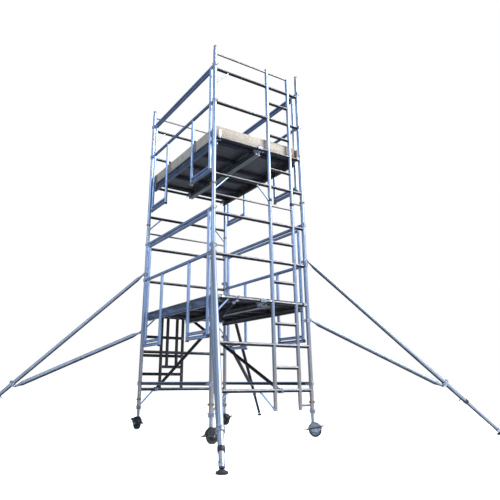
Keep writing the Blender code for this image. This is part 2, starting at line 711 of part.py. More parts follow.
def wheel():
    """Turned about Z here, laid on its axle when placed."""
    half, hub = WHEEL_WIDTH / 2, WHEEL_HUB_WIDTH / 2
    tread = corner_radius(WHEEL_RADIUS, WHEEL_STEPS)
    face = half - WHEEL_DISH
    outline = [(WHEEL_HUB_RADIUS, hub), (WHEEL_HUB_RADIUS, face), (tread - 3 * TREAD_SHOULDER, face),
               (tread - TREAD_SHOULDER, half), (tread, half - TREAD_SHOULDER)]
    outline += [(radius, -height) for radius, height in reversed(outline)]
    bore = corner_radius(corner_radius(AXLE_RADIUS, PIN_SIDES) + AXLE_CLEARANCE, WHEEL_STEPS)
    mesh = turned("wheel", ring_profile(bore, outline), WHEEL_STEPS)
    mesh.transform(Matrix.Rotation(math.pi / WHEEL_STEPS, 4, "Z"))
    mesh.transform(Matrix.Rotation(math.pi / 2, 4, "X"))
    return mesh


def castor_yoke():
    """Hood, stem, axle and rocker pins, with the swivel axis on Z and the axle along Y."""
    centre = Vector((-CASTOR_TRAIL, 0, AXLE_HEIGHT))
    place = Matrix.Translation(centre) @ FRONT_VIEW
    crown_outline = arc(HOOD_OUTER, HOOD_START, 180 - HOOD_START, HOOD_STEPS)
    crown_outline += arc(HOOD_INNER, 180 - HOOD_START, HOOD_START, HOOD_STEPS)
    crown = plate(crown_outline, HOOD_INNER_WIDTH + HOOD_WALL, place)
    cheek = arc(HOOD_OUTER, CHEEK_START, 180 - CHEEK_START, HOOD_STEPS)
    cheek += [(-CHEEK_FOOT, -CHEEK_DROP), (CHEEK_FOOT, -CHEEK_DROP)]
    solids = [crown]
    for side in (-1, 1):
        shift = Matrix.Translation((0, side * (HOOD_INNER_WIDTH + HOOD_WALL) / 2, 0))
        solids.append(plate(cheek, HOOD_WALL, shift @ place))
    half_axle = Vector((0, HOOD_HALF, 0))
    solids.append(rod(centre - half_axle, centre + half_axle, AXLE_RADIUS, PIN_SIDES))
    crown_top = CASTOR_TOP - HOOD_WALL
    solids.append(rod((0, 0, crown_top - STEM_ROOT), (0, 0, CASTOR_TOP), LEG_RADIUS + STEM_COLLAR))
    solids.append(rod((0, 0, crown_top), (0, 0, CASTOR_TOP + STEM_HEIGHT), STEM_RADIUS))
    pin = HOOD_HALF + BRAKE_SIDE_GAP + BRAKE_ARM + BRAKE_PIN_END
    pivot = Vector((-CASTOR_TRAIL, 0, BRAKE_HEIGHT))
    for side in (-1, 1):
        root = pivot + Vector((0, side * (HOOD_HALF - HOOD_WALL / 2), 0))
        solids.append(rod(root, pivot + Vector((0, side * pin, 0)), BRAKE_PIN_RADIUS, PIN_SIDES))
    return fuse(solids)


def castor_brake():
    """A rocker that loops round the hood and ends in two treads, its pivot at the origin."""
    inner = HOOD_HALF + BRAKE_SIDE_GAP
    outer = inner + BRAKE_ARM
    half = BRAKE_DEPTH / 2
    tread = outer * BRAKE_TREAD
    corner = BRAKE_LOOP + BRAKE_CORNER
    end_y, end_z = outer - BRAKE_STEP, half - BRAKE_STEP
    solids = []
    for side in (-1, 1):
        low_y, high_y = sorted((side * inner, side * outer))
        solids.append(box((-corner, low_y, -half), (corner, high_y, half)))
    for side in (-1, 1):
        near, far = sorted((side * BRAKE_LOOP, side * BRAKE_REACH))
        solids.append(box((near, -tread, -half / 2), (far, tread, half / 2)))
        near, far = sorted((side * BRAKE_LOOP, side * (BRAKE_LOOP + BRAKE_ARM)))
        solids.append(box((near, -end_y, -end_z), (far, end_y, end_z)))
    hole_radius = corner_radius(BRAKE_PIN_RADIUS, PIN_SIDES) + AXLE_CLEARANCE
    hole = rod((0, -outer - OPEN, 0), (0, outer + OPEN, 0), hole_radius, PIN_SIDES)
    return fuse(solids, [hole])


leg_mesh, nut_mesh, wheel_mesh = leg_tube(), leg_nut(), wheel()
yoke_mesh, brake_mesh = castor_yoke(), castor_brake()


def place_shared(name, mesh, finish, parent, location, rotation=(0, 0, 0)):
    """A copy of a castor piece, its origin on its joint axis."""
    copy = mesh.copy()
    part = add_part(name, copy, finish)
    part.parent = parent
    part.location = location
    part.rotation_euler = rotation
    return part


def castor_set(corner, facts):
    x, y = facts["side"] * HALF_WIDTH, facts["end"] * HALF_BAY
    leg = place_shared(f"leg_tube_{corner}", leg_mesh, "aluminium_cast", None, (x, y, 0))
    place_shared(f"leg_nut_{corner}", nut_mesh, "aluminium_cast", None, (x, y, 0))
    heading = (0, 0, math.radians(facts["castor"]))
    yoke = place_shared(f"castor_yoke_{corner}", yoke_mesh, "castor_metal", leg, (0, 0, 0), heading)
    place_shared(f"castor_wheel_{corner}", wheel_mesh, "wheel", yoke, (-CASTOR_TRAIL, 0, AXLE_HEIGHT))
    place_shared(f"castor_brake_{corner}", brake_mesh, "castor_metal", yoke, (-CASTOR_TRAIL, 0, BRAKE_HEIGHT),
                 (0, math.radians(BRAKE_TILT), 0))


# ---------------------------------------------------------------- stabilisers
UPPER_CLAMP = rung_height(STABILISER_UPPER_RUNG)
LOWER_CLAMP = rung_height(STABILISER_LOWER_RUNG)
FOOT_TOP = FOOT_THICKNESS - FOOT_SINK


def stabiliser_reach(corner, facts):
    """The front left foot stands as far out in Y as the back right one."""
    if corner != "front_left":
        return STABILISER_REACH
    far = CORNERS["back_right"]["stabiliser"]
    near = facts["stabiliser"]
    return STABILISER_REACH * abs(math.sin(math.radians(far)) / math.sin(math.radians(near)))


def stabiliser(corner, facts):
    post = Vector((facts["side"] * HALF_WIDTH, facts["end"] * HALF_BAY, 0))
    bearing = facts["stabiliser"]
    outward = Vector((math.cos(math.radians(bearing)), math.sin(math.radians(bearing)), 0))
    post_edge = corner_radius(POST_RADIUS, POST_SIDES)
    clamp = outward * (post_edge + CLAMP_WALL + CLAMP_STANDOFF)
    upper_rise, lower_rise = facts["clamps"]
    top = post + Vector((0, 0, UPPER_CLAMP + upper_rise))
    low = post + Vector((0, 0, LOWER_CLAMP + lower_rise))
    foot = post + outward * stabiliser_reach(corner, facts) + Vector((0, 0, FOOT_TOP))
    start = top + clamp
    along = (foot - start).normalized()

    # outer tube, hung on the upper clamp
    work = Tubework()
    shoulder = start + along * STABILISER_TAPER
    end = start + along * STABILISER_LENGTH
    slim = STABILISER_RADIUS - FERRULE_STEP
    work.bar(start, shoulder + along * FERRULE_DEPTH, STABILISER_NECK, end_radius=slim)
    work.solids.append(rod(shoulder, end, STABILISER_RADIUS))
    bore_start = shoulder + along * BORE_START
    work.bores.append(rod(bore_start, end + along * OPEN, STABILISER_RADIUS - STABILISER_WALL))
    work.solids.append(hook(top, post_edge, CLAMP_WALL, CLAMP_HEIGHT, bearing, HOOK_SPAN))
    add_part(f"stabiliser_tube_{corner}", fuse(work.solids, work.bores), "aluminium_tube", origin=top)

    # lower arm, from its own clamp to a collar round the outer tube
    arm_start = low + clamp
    drop = start - arm_start
    half_b = along.dot(drop)
    reach = -half_b + math.sqrt(half_b ** 2 - drop.length_squared + STABILISER_ARM_LENGTH ** 2)
    join = start + along * reach
    toward_arm = ((arm_start - join) - along * (arm_start - join).dot(along)).normalized()
    lug_root = join + toward_arm * (STABILISER_RADIUS + CLAMP_WALL / 2)
    collar_side = join + toward_arm * (STABILISER_RADIUS + COLLAR_LUG)
    arm = (collar_side - arm_start).normalized()
    arm_shoulder = arm_start + arm * STABILISER_TAPER
    arm_end = collar_side - arm * STABILISER_TAPER
    slim = STABILISER_ARM_RADIUS - FERRULE_STEP
    work = Tubework()
    work.bar(arm_start, arm_shoulder + arm * FERRULE_DEPTH, STABILISER_NECK, end_radius=slim)
    work.tube(arm_shoulder, arm_end, STABILISER_ARM_RADIUS, open_start=CLOSED, open_end=CLOSED)
    work.bar(arm_end - arm * FERRULE_DEPTH, collar_side, slim, end_radius=STABILISER_NECK)
    work.drain((arm_shoulder + arm_end) / 2, STABILISER_ARM_RADIUS)
    work.bar(lug_root, collar_side, STABILISER_NECK)
    work.solids.append(hook(low, post_edge, CLAMP_WALL, CLAMP_HEIGHT, bearing, HOOK_SPAN))
    half_collar = along * COLLAR_LENGTH / 2
    work.bar(join - half_collar, join + half_collar, STABILISER_RADIUS + CLAMP_WALL)
    work.bores.append(rod(join - 2 * half_collar, join + 2 * half_collar, STABILISER_RADIUS + GAP))
    add_part(f"stabiliser_arm_{corner}", fuse(work.solids, work.bores), "aluminium_tube", origin=low)

    # telescopic leg with its foot
    leg_start = end - along * STABILISER_OVERLAP
    leg = [rod(leg_start, foot, STABILISER_LEG_RADIUS),
           rod((foot.x, foot.y, 0), (foot.x, foot.y, FOOT_THICKNESS), FOOT_RADIUS, FOOT_SIDES)]
    bore_end = foot - along * LEG_SOLID_END
    bore = rod(leg_start - along * OPEN, bore_end, STABILISER_LEG_RADIUS - STABILISER_LEG_WALL)
    add_part(f"stabiliser_leg_{corner}", fuse(leg, [bore]), "aluminium_tube", origin=end)


for corner, facts in CORNERS.items():
    castor_set(corner, facts)
    stabiliser(corner, facts)

for shared in (leg_mesh, nut_mesh, wheel_mesh, yoke_mesh, brake_mesh):
    bpy.data.meshes.remove(shared)
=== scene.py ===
# Mobile access tower: the visible pieces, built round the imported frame. Metres, +Z up.
import json
import math

import bmesh
import bpy
from mathutils import Matrix, Vector


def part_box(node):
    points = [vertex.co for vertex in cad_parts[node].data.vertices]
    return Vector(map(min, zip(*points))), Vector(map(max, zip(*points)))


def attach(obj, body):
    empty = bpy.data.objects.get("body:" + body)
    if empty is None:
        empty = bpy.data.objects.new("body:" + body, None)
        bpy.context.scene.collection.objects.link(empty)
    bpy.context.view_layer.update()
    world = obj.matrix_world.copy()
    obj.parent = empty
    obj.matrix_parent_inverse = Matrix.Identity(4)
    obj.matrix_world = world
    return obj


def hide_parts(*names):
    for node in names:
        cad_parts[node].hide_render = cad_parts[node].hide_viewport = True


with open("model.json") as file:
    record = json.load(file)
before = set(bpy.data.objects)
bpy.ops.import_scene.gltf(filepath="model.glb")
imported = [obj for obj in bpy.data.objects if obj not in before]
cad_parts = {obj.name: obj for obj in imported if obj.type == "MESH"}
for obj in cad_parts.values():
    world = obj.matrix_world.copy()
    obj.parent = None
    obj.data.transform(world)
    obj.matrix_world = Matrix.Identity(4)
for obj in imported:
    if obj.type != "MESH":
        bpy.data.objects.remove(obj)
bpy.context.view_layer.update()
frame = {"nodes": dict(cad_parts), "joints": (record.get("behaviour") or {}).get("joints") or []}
print("frame loaded:", len(frame["nodes"]), "nodes")

# places read from the frame
up = Vector((0, 0, 1))
across = Vector((1, 0, 0))
along = Vector((0, 1, 0))
joints = {joint["name"]: joint for joint in frame["joints"]}
cornerNames = ("front_left", "front_right", "back_left", "back_right")
posts = {name: Vector((*joints["castor_swivel_" + name]["pos_m"][:2], 0)) for name in cornerNames}
leftX, rightX = posts["front_left"].x, posts["front_right"].x
frontY, backY = posts["front_left"].y, posts["back_left"].y
tower = {"pitch": 0.5, "braceRise": 0.075, "post": 0.0254, "postWall": 0.0022, "rung": 0.021, "stile": 0.0235}
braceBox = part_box("level_brace_left")
firstRung = (braceBox[0].z + braceBox[1].z) / 2 - tower["braceRise"]
lifts = {"lower": {"first": 0, "count": 5, "deck": 2}, "upper": {"first": 5, "count": 4, "deck": 6}}


def rungZ(index):
    return firstRung + index * tower["pitch"]


# mesh tools; every face carries a "run" map, across and along the piece, in metres
class Shape:
    def __init__(self):
        self.bm = bmesh.new()
        self.run = self.bm.loops.layers.uv.new("run")
        self.finishes = []

    def slotOf(self, finish):
        if finish not in self.finishes:
            self.finishes.append(finish)
        return self.finishes.index(finish)

    def face(self, verts, coords, slot):
        made = self.bm.faces.new(verts)
        made.material_index = slot
        made.smooth = True
        for loop, coord in zip(made.loops, coords):
            loop[self.run].uv = coord


def turn(shape, start, axis, profile, finish, sides=20):    # profile: (along, radius) pairs
    start, axis = Vector(start), Vector(axis).normalized()
    side = axis.orthogonal().normalized()
    other = axis.cross(side)
    slot = shape.slotOf(finish)
    angles = [2 * math.pi * k / sides for k in range(sides)]
    rings = []
    for reach, radius in profile:
        centre = start + axis * reach
        if radius <= 0:
            rings.append([shape.bm.verts.new(centre)])
        else:
            rings.append([shape.bm.verts.new(centre + (side * math.cos(a) + other * math.sin(a)) * radius)
                          for a in angles])
    width = 2 * math.pi * max(radius for reach, radius in profile) / sides
    run = 0.0
    for ringA, ringB, (reachA, radiusA), (reachB, radiusB) in zip(rings, rings[1:], profile, profile[1:]):
        step = math.hypot(reachB - reachA, radiusB - radiusA)
        for k in range(sides):
            corners = [(ringA[k % len(ringA)], (k * width, run)),
                       (ringA[(k + 1) % sides % len(ringA)], ((k + 1) * width, run)),
                       (ringB[(k + 1) % sides % len(ringB)], ((k + 1) * width, run + step)),
                       (ringB[k % len(ringB)], (k * width, run + step))]
            kept = {vert: coord for vert, coord in corners}
            if len(kept) > 2:
                shape.face(list(kept), list(kept.values()), slot)
        run += step


tubeEnds = {"lip": 0.0010, "mouth": 0.08, "wall": 0.0022}


def tube(shape, start, end, radius, finish, openStart=False, openEnd=False, wall=tubeEnds["wall"], sides=20):
    start, end = Vector(start), Vector(end)
    length = (end - start).length
    lip, depth = tubeEnds["lip"], min(tubeEnds["mouth"], length / 3)
    profile = [(0, 0), (0, radius - lip), (lip, radius)]
    if openStart:
        profile = [(depth, 0), (depth, radius - wall), (0, radius - wall), (0, radius - lip), (lip, radius)]
    profile += [(length - lip, radius), (length, radius - lip)]
    if openEnd:
        profile += [(length, radius - wall), (length - depth, radius - wall), (length - depth, 0)]
    else:
        profile.append((length, 0))
    turn(shape, start, end - start, profile, finish, sides)


def addMesh(shape, source, place, finish, longAxis=1):      # copies a small mesh in, mapped by its own flats
    slot = shape.slotOf(finish)
    verts = {vert: shape.bm.verts.new(place @ vert.co) for vert in source.verts}
    for face in source.faces:
        flat = max(range(3), key=lambda axis: abs(face.normal[axis]))
        rest = [axis for axis in range(3) if axis != flat]
        if rest[0] == longAxis:
            rest.reverse()
        shape.face([verts[v] for v in face.verts], [(v.co[rest[0]], v.co[rest[1]]) for v in face.verts], slot)
    source.free()


def block(shape, centre, size, finish, turned=None, bevel=0.0015, segments=2):
    source = bmesh.new()
    bmesh.ops.create_cube(source, size=1.0, matrix=Matrix.Diagonal((*size, 1.0)))
    if bevel:
        bmesh.ops.bevel(source, geom=list(source.edges), offset=bevel, segments=segments, profile=0.5,
                        affect="EDGES")
    place = Matrix.Translation(centre)
    if turned:
        place = place @ turned
    addMesh(shape, source, place, finish, max(range(3), key=lambda axis: size[axis]))


def prism(shape, outline, thickness, place, finish, bevel=0.0):     # outline in local XY
    source = bmesh.new()
    base = source.faces.new([source.verts.new((x, y, -thickness / 2)) for x, y in outline])
    top = bmesh.ops.extrude_face_region(source, geom=[base])
    raised = [vert for vert in top["geom"] if isinstance(vert, bmesh.types.BMVert)]
    bmesh.ops.translate(source, vec=(0, 0, thickness), verts=raised)
    bmesh.ops.recalc_face_normals(source, faces=source.faces)
    if bevel:
        rims = [e for e in source.edges if len(e.link_faces) == 2 and e.calc_face_angle() > math.radians(50)]
        bmesh.ops.bevel(source, geom=rims, offset=bevel, segments=2, profile=0.5, affect="EDGES")
    addMesh(shape, source, place, finish, 2 if thickness > 0.2 else 1)


def arcPoints(radius, start, end, steps):
    angles = [math.radians(start + (end - start) * k / steps) for k in range(steps + 1)]
    return [(radius * math.cos(a), radius * math.sin(a)) for a in angles]


def basis(zAxis, xAxis):        # rotation whose Z and X point the given ways
    z = Vector(zAxis).normalized()
    x = (Vector(xAxis) - z * z.dot(Vector(xAxis))).normalized()
    return Matrix((x, z.cross(x), z)).transposed().to_4x4()


def skin(shape, rows, finish, pitch, section=None, closed=False):   # row to row; a section caps both ends
    slot = shape.slotOf(finish)
    for k in range(len(rows) if closed else len(rows) - 1):
        row, after = rows[k], rows[(k + 1) % len(rows)]
        for j in range(len(row)):
            n = (j + 1) % len(row)
            coords = [(u * pitch[0], v * pitch[1]) for u,
                      v in ((j, k), (j + 1, k), (j + 1, k + 1), (j, k + 1))]
            shape.face([row[j], row[n], after[n], after[j]], coords, slot)
    if section:
        for row in (rows[0], rows[-1]):
            shape.face(row, section, slot)


def ringArc(shape, centre, zAxis, middle, inner, wall, height, halfSpan, finish, steps=20, chamfer=0.002):
    place = Matrix.Translation(centre) @ basis(zAxis, middle)
    outer, half = inner + wall, height / 2
    section = [(inner, -half + chamfer / 2), (inner, half - chamfer / 2), (inner + chamfer / 2, half),
               (outer - chamfer, half), (outer, half - chamfer), (outer, chamfer - half),
               (outer - chamfer, -half),
               (inner + chamfer / 2, -half)]
    rows = []
    for k in range(steps + 1):
        angle = math.radians(-halfSpan + 2 * halfSpan * k / steps)
        rows.append([shape.bm.verts.new(place @ Vector((r * math.cos(angle), r * math.sin(angle), z)))
                     for r, z in section])
    skin(shape, rows, finish, (0.01, outer * 0.2), section)


welds = {"bead": 0.0032, "ripple": 0.22, "steps": 26, "sides": 5}


def weld(shape, root, rootAxis, rootRadius, direction, radius, finish="weldBead"):
    direction, rootAxis = Vector(direction).normalized(), Vector(rootAxis).normalized()
    cross = rootAxis.cross(direction)
    rows = []
    for k in range(welds["steps"]):
        angle = 2 * math.pi * k / welds["steps"]
        offset = (rootAxis * math.cos(angle) + cross * math.sin(angle)) * radius
        reach = math.sqrt(max(rootRadius ** 2 - (radius * math.sin(angle)) ** 2, 0))
        outward = offset.normalized()
        bead = welds["bead"] * (1 + welds["ripple"] * (k % 2))
        point = Vector(root) + direction * reach + offset
        rows.append([shape.bm.verts.new(point + (outward * math.cos(b) + direction * math.sin(b)) * bead)
                     for b in (2 * math.pi * j / welds["sides"] for j in range(welds["sides"]))])
    skin(shape, rows, finish, (0.002, 0.005), closed=True)


def rivet(shape, point, direction, radius=0.005, finish="boltSteel"):
    turn(shape, point, direction, [(-0.001, radius), (0.0008, radius), (0.0022, radius * 0.7), (0.0028, 0)],
         finish, 10)


def bolt(shape, point, direction, radius=0.008, height=0.006, finish="boltSteel"):    # washer and hexagon
    turn(shape, point, direction, [(-0.001, radius * 1.35), (0.0015, radius * 1.35), (0.0015, 0)], finish, 16)
    turn(shape, point, direction, [(0.001, radius), (height - 0.001, radius), (height, radius * 0.86),
                                   (height, 0)],
         finish, 6)


def finishPiece(name, shape, body, slot, *nodes):
    bmesh.ops.recalc_face_normals(shape.bm, faces=shape.bm.faces)
    mesh = bpy.data.meshes.new(name)
    shape.bm.to_mesh(mesh)
    shape.bm.free()
    for finish in shape.finishes:
        mesh.materials.append(finishes[finish])
    mesh.set_sharp_from_angle(angle=math.radians(38))
    piece = bpy.data.objects.new(name, mesh)
    bpy.context.scene.collection.objects.link(piece)
    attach(piece, body)
    if nodes:
        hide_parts(*nodes)
    return piece


# shader node groups
def makeGroup(name, inputs, outputs):
    group = bpy.data.node_groups.new(name, "ShaderNodeTree")
    for label, kind, value in inputs:
        socket = group.interface.new_socket(name=label, in_out="INPUT", socket_type=kind)
        socket.default_value = value
    for label, kind in outputs:
        group.interface.new_socket(name=label, in_out="OUTPUT", socket_type=kind)
    return group, group.nodes.new("NodeGroupInput"), group.nodes.new("NodeGroupOutput")


def put(tree, kind, settings=None, **values):      # adds a node; values by input name, or sockets to link
    node = tree.nodes.new(kind)
    for key, value in (settings or {}).items():
        setattr(node, key, value)
    for key, value in values.items():
        spaced = key.replace("_", " ")
        socket = node.inputs[int(key[1:])] if key[0] == "i" and key[1:].isdigit() else node.inputs[spaced]
        if isinstance(value, bpy.types.NodeSocket):
            tree.links.new(value, socket)
        else:
            socket.default_value = value
    return node


def giveOut(group, gout, **results):
    for label, socket in results.items():
        group.links.new(socket, gout.inputs[label])


def maths(tree, operation, a, b=0.0):
    return put(tree, "ShaderNodeMath", {"operation": operation}, i0=a, i1=b).outputs[0]


def mixed(tree, factor, a, b, blend="MIX"):
    node = put(tree, "ShaderNodeMix", {"data_type": "RGBA", "blend_type": blend}, i0=factor, i6=a, i7=b)
    return node.outputs[2]


def span(tree, value, low, high, toLow=0.0, toHigh=1.0):
    node = put(tree, "ShaderNodeMapRange", {"clamp": True}, i0=value, i1=low, i2=high, i3=toLow, i4=toHigh)
    return node.outputs[0]


floatKind, colourKind = "NodeSocketFloat", "NodeSocketColor"


def runCoords(tree, scaleAcross, scaleAlong):       # the run map, stretched
    run = put(tree, "ShaderNodeUVMap", {"uv_map": "run"}).outputs[0]
    return put(tree, "ShaderNodeMapping", None, Vector=run, Scale=(scaleAcross, scaleAlong, 1)).outputs[0]


def placeCoords(tree):
    return put(tree, "ShaderNodeTexCoord").outputs["Object"]


def noise(tree, vector, scale, detail=3.0, rough=0.5):
    node = put(tree, "ShaderNodeTexNoise", None, Vector=vector, Scale=scale, Detail=detail, Roughness=rough)
    return node.outputs[0]


def buildDrawnMetal():      # drawing lines along a tube, dull blotches, scuffs round it
    group, gin, gout = makeGroup("drawnMetal", [
        ("Color", colourKind, (0.5, 0.5, 0.5, 1)), ("Stain Color", colourKind, (0.2, 0.2, 0.2, 1)),
        ("Stain", floatKind, 0.4), ("Lines", floatKind, 0.5), ("Base Roughness", floatKind, 0.35)],
        [("Color", colourKind), ("Roughness", floatKind), ("Height", floatKind)])
    lines = span(group, noise(group, runCoords(group, 420, 3.0), 1.0, 4.0), 0.35, 0.65)
    blotch = span(group, noise(group, placeCoords(group), 5.5, 6.0, 0.62), 0.48, 0.70)
    scuffs = span(group, noise(group, runCoords(group, 9, 90), 1.0, 2.0), 0.60, 0.72)
    patch = span(group, noise(group, placeCoords(group), 2.1, 3.0), 0.50, 0.62)
    scuffed = maths(group, "MULTIPLY", scuffs, patch)
    lineMask = maths(group, "MULTIPLY", lines, gin.outputs["Lines"])
    darker = mixed(group, 1.0, gin.outputs["Color"], (0.70, 0.72, 0.76, 1), "MULTIPLY")
    lined = mixed(group, lineMask, gin.outputs["Color"], darker)
    stain = maths(group, "MULTIPLY", blotch, gin.outputs["Stain"])
    stained = mixed(group, stain, lined, gin.outputs["Stain Color"])
    brighter = mixed(group, maths(group, "MULTIPLY", scuffed, 0.35), stained, (0.86, 0.88, 0.92, 1))
    rough = maths(group, "ADD", gin.outputs["Base Roughness"], maths(group, "MULTIPLY", lineMask, 0.10))
    rough = maths(group, "ADD", rough, maths(group, "MULTIPLY", blotch, 0.16))
    height = maths(group, "SUBTRACT", lines, maths(group, "MULTIPLY", scuffed, 0.4))
    giveOut(group, gout, Color=brighter, Roughness=rough, Height=height)
    return group


def buildUnderside():       # painted shade: darkens the faces that point down, with a ragged edge
    group, gin, gout = makeGroup("undersidePaintedShade", [
        ("Color", colourKind, (0.5, 0.5, 0.5, 1)), ("Grime", colourKind, (0.03, 0.03, 0.035, 1)),
        ("Amount", floatKind, 0.8), ("Start", floatKind, -0.05), ("Full", floatKind, -0.6)],
        [("Color", colourKind), ("Mask", floatKind)])
    normal = put(group, "ShaderNodeNewGeometry").outputs["Normal"]
    height = put(group, "ShaderNodeSeparateXYZ", None, Vector=normal).outputs["Z"]
    wobble = maths(group, "MULTIPLY", maths(group, "SUBTRACT", noise(group, placeCoords(group), 9.0), 0.5),
                   0.3)
    mask = span(group, maths(group, "ADD", height, wobble), gin.outputs["Start"], gin.outputs["Full"])
    mask = maths(group, "MULTIPLY", mask, gin.outputs["Amount"])
    giveOut(group, gout, Color=mixed(group, mask, gin.outputs["Color"], gin.outputs["Grime"]), Mask=mask)
    return group


def buildLowTone():         # a brown tone towards the bottom that thins out with height
    group, gin, gout = makeGroup("lowTone", [
        ("Color", colourKind, (0.5, 0.5, 0.5, 1)), ("Tone", colourKind, (0.3, 0.25, 0.2, 1)),
        ("Bottom", floatKind, 0.8), ("Top", floatKind, 1.7), ("Amount", floatKind, 1.0)],
        [("Color", colourKind), ("Mask", floatKind)])
    coords = placeCoords(group)
    height = put(group, "ShaderNodeSeparateXYZ", None, Vector=coords).outputs["Z"]
    ragged = maths(group, "ADD", height, maths(group, "MULTIPLY", noise(group, coords, 3.0, 4.0), 0.5))
    mask = maths(group, "MULTIPLY", span(group, ragged, gin.outputs["Top"], gin.outputs["Bottom"]),
                 gin.outputs["Amount"])
    giveOut(group, gout, Color=mixed(group, mask, gin.outputs["Color"], gin.outputs["Tone"]), Mask=mask)
    return group


def buildGrain():           # long fibres and darker rings of timber, with weathered patches
    group, gin, gout = makeGroup("timberGrain", [
        ("Light", colourKind, (0.6, 0.5, 0.4, 1)), ("Dark", colourKind, (0.3, 0.2, 0.1, 1)),
        ("Fibre", floatKind, 0.6)], [("Color", colourKind), ("Height", floatKind)])
    fibres = noise(group, runCoords(group, 190, 5), 1.0, 5.0, 0.65)
    rings = noise(group, runCoords(group, 26, 1.1), 1.0, 2.0)
    bands = span(group, maths(group, "SINE", maths(group, "MULTIPLY", rings, 42.0)), -0.4, 1.0)
    weather = span(group, noise(group, placeCoords(group), 3.6, 5.0), 0.42, 0.66)
    mask = maths(group, "MULTIPLY", maths(group, "ADD", maths(group, "MULTIPLY", bands, 0.45), fibres),
                 gin.outputs["Fibre"])
    colour = mixed(group, span(group, mask, 0.15, 0.85), gin.outputs["Light"], gin.outputs["Dark"])
    faded = mixed(group, maths(group, "MULTIPLY", weather, 0.4), colour, (0.47, 0.46, 0.44, 1))
    height = maths(group, "ADD", fibres, maths(group, "MULTIPLY", bands, 0.4))
    giveOut(group, gout, Color=faded, Height=height)
    return group


def buildWorn():            # paint or casting skin, rubbed through at its edges, with dust
    group, gin, gout = makeGroup("wornSkin", [
        ("Color", colourKind, (0.1, 0.1, 0.1, 1)), ("Bare", colourKind, (0.5, 0.5, 0.5, 1)),
        ("Dust", colourKind, (0.3, 0.27, 0.23, 1)), ("Wear", floatKind, 0.5), ("Dusting", floatKind, 0.3),
        ("Grain", floatKind, 260.0)], [("Color", colourKind), ("Roughness", floatKind),
                                       ("Height", floatKind)])
    coords = placeCoords(group)
    edge = span(group, put(group, "ShaderNodeNewGeometry").outputs["Pointiness"], 0.515, 0.56)
    chips = span(group, noise(group, coords, 46.0, 5.0, 0.7), 0.46, 0.60)
    wear = maths(group, "MULTIPLY", maths(group, "MULTIPLY", edge, chips), gin.outputs["Wear"])
    dust = maths(group, "MULTIPLY", span(group, noise(group, coords, 14.0, 6.0, 0.7), 0.42, 0.72),
                 gin.outputs["Dusting"])
    grains = noise(group, coords, gin.outputs["Grain"], 2.0)
    dusty = mixed(group, dust, gin.outputs["Color"], gin.outputs["Dust"])
    rubbed = mixed(group, wear, dusty, gin.outputs["Bare"])
    rough = span(group, maths(group, "SUBTRACT", dust, wear), -0.5, 0.5, 0.34, 0.72)
    height = maths(group, "SUBTRACT", grains, maths(group, "MULTIPLY", wear, 0.6))
    giveOut(group, gout, Color=rubbed, Roughness=rough, Height=height)
    return group


groups = {"metal": buildDrawnMetal(), "under": buildUnderside(), "low": buildLowTone(), "grain": buildGrain(),
          "worn": buildWorn()}
finishes = {}


def startMaterial(name, metallic, roughness):
    material = bpy.data.materials.new(name)
    material.use_nodes = True
    tree = material.node_tree
    shader = tree.nodes["Principled BSDF"]
    shader.inputs["Metallic"].default_value = metallic
    shader.inputs["Roughness"].default_value = roughness
    finishes[name] = material
    return tree, shader


def useGroup(tree, name, **values):
    return put(tree, "ShaderNodeGroup", {"node_tree": groups[name]}, **values)


def bump(tree, shader, height, strength, distance):
    node = put(tree, "ShaderNodeBump", None, Height=height, Strength=strength, Distance=distance)
    tree.links.new(node.outputs[0], shader.inputs["Normal"])


def tubeMetal(name, look):
    tree, shader = startMaterial(name, look["metallic"], look["rough"])
    metal = useGroup(tree, "metal", Color=(*look["color"], 1), Stain_Color=(*look["stainColor"], 1),
                     Stain=look["stain"], Lines=look["lines"], Base_Roughness=look["rough"])
    colour = metal.outputs["Color"]
    if look["lowAmount"]:
        low = useGroup(tree, "low", Color=colour, Tone=(*look["lowTone"], 1), Bottom=look["lowBottom"],
                       Top=look["lowTop"], Amount=look["lowAmount"])
        colour = low.outputs["Color"]
    # painted shade on the faces of the tube that point down
    under = useGroup(tree, "under", Color=colour, Grime=(*look["grime"], 1), Amount=look["under"],
                     Start=look["underStart"], Full=look["underFull"])
    tree.links.new(under.outputs["Color"], shader.inputs["Base Color"])
    tree.links.new(metal.outputs["Roughness"], shader.inputs["Roughness"])
    height = metal.outputs["Height"]
    if look["ribPitch"]:
        run = put(tree, "ShaderNodeUVMap", {"uv_map": "run"}).outputs[0]
        position = put(tree, "ShaderNodeSeparateXYZ", None, Vector=run).outputs["X"]
        ribs = maths(tree, "SINE", maths(tree, "MULTIPLY", position, 2 * math.pi / look["ribPitch"]))
        height = maths(tree, "ADD", maths(tree, "MULTIPLY", height, 0.35), ribs)
    bump(tree, shader, height, look["bump"], look["bumpDepth"])


# the blue in these tube colours is a painted reflection of blue sky over grey aluminium
# the underside settings in these looks paint shade on the faces that point down
plainTube = {"color": (0.41, 0.51, 0.70), "stainColor": (0.17, 0.23, 0.36), "stain": 0.5, "lines": 0.6,
             "rough": 0.27, "metallic": 0.90, "grime": (0.04, 0.05, 0.09), "under": 0.85, "underStart": -0.15,
             "underFull": -0.75, "lowTone": (0.33, 0.295, 0.26), "lowBottom": 0.9, "lowTop": 1.9,
             "lowAmount": 0.0,
             "ribPitch": 0.0, "bump": 0.15, "bumpDepth": 0.0006}
tubeMetal("railTube", {**plainTube, "color": (0.42, 0.56, 0.84), "rough": 0.30})
tubeMetal("postTube", {**plainTube, "lowAmount": 0.85, "stain": 0.30})
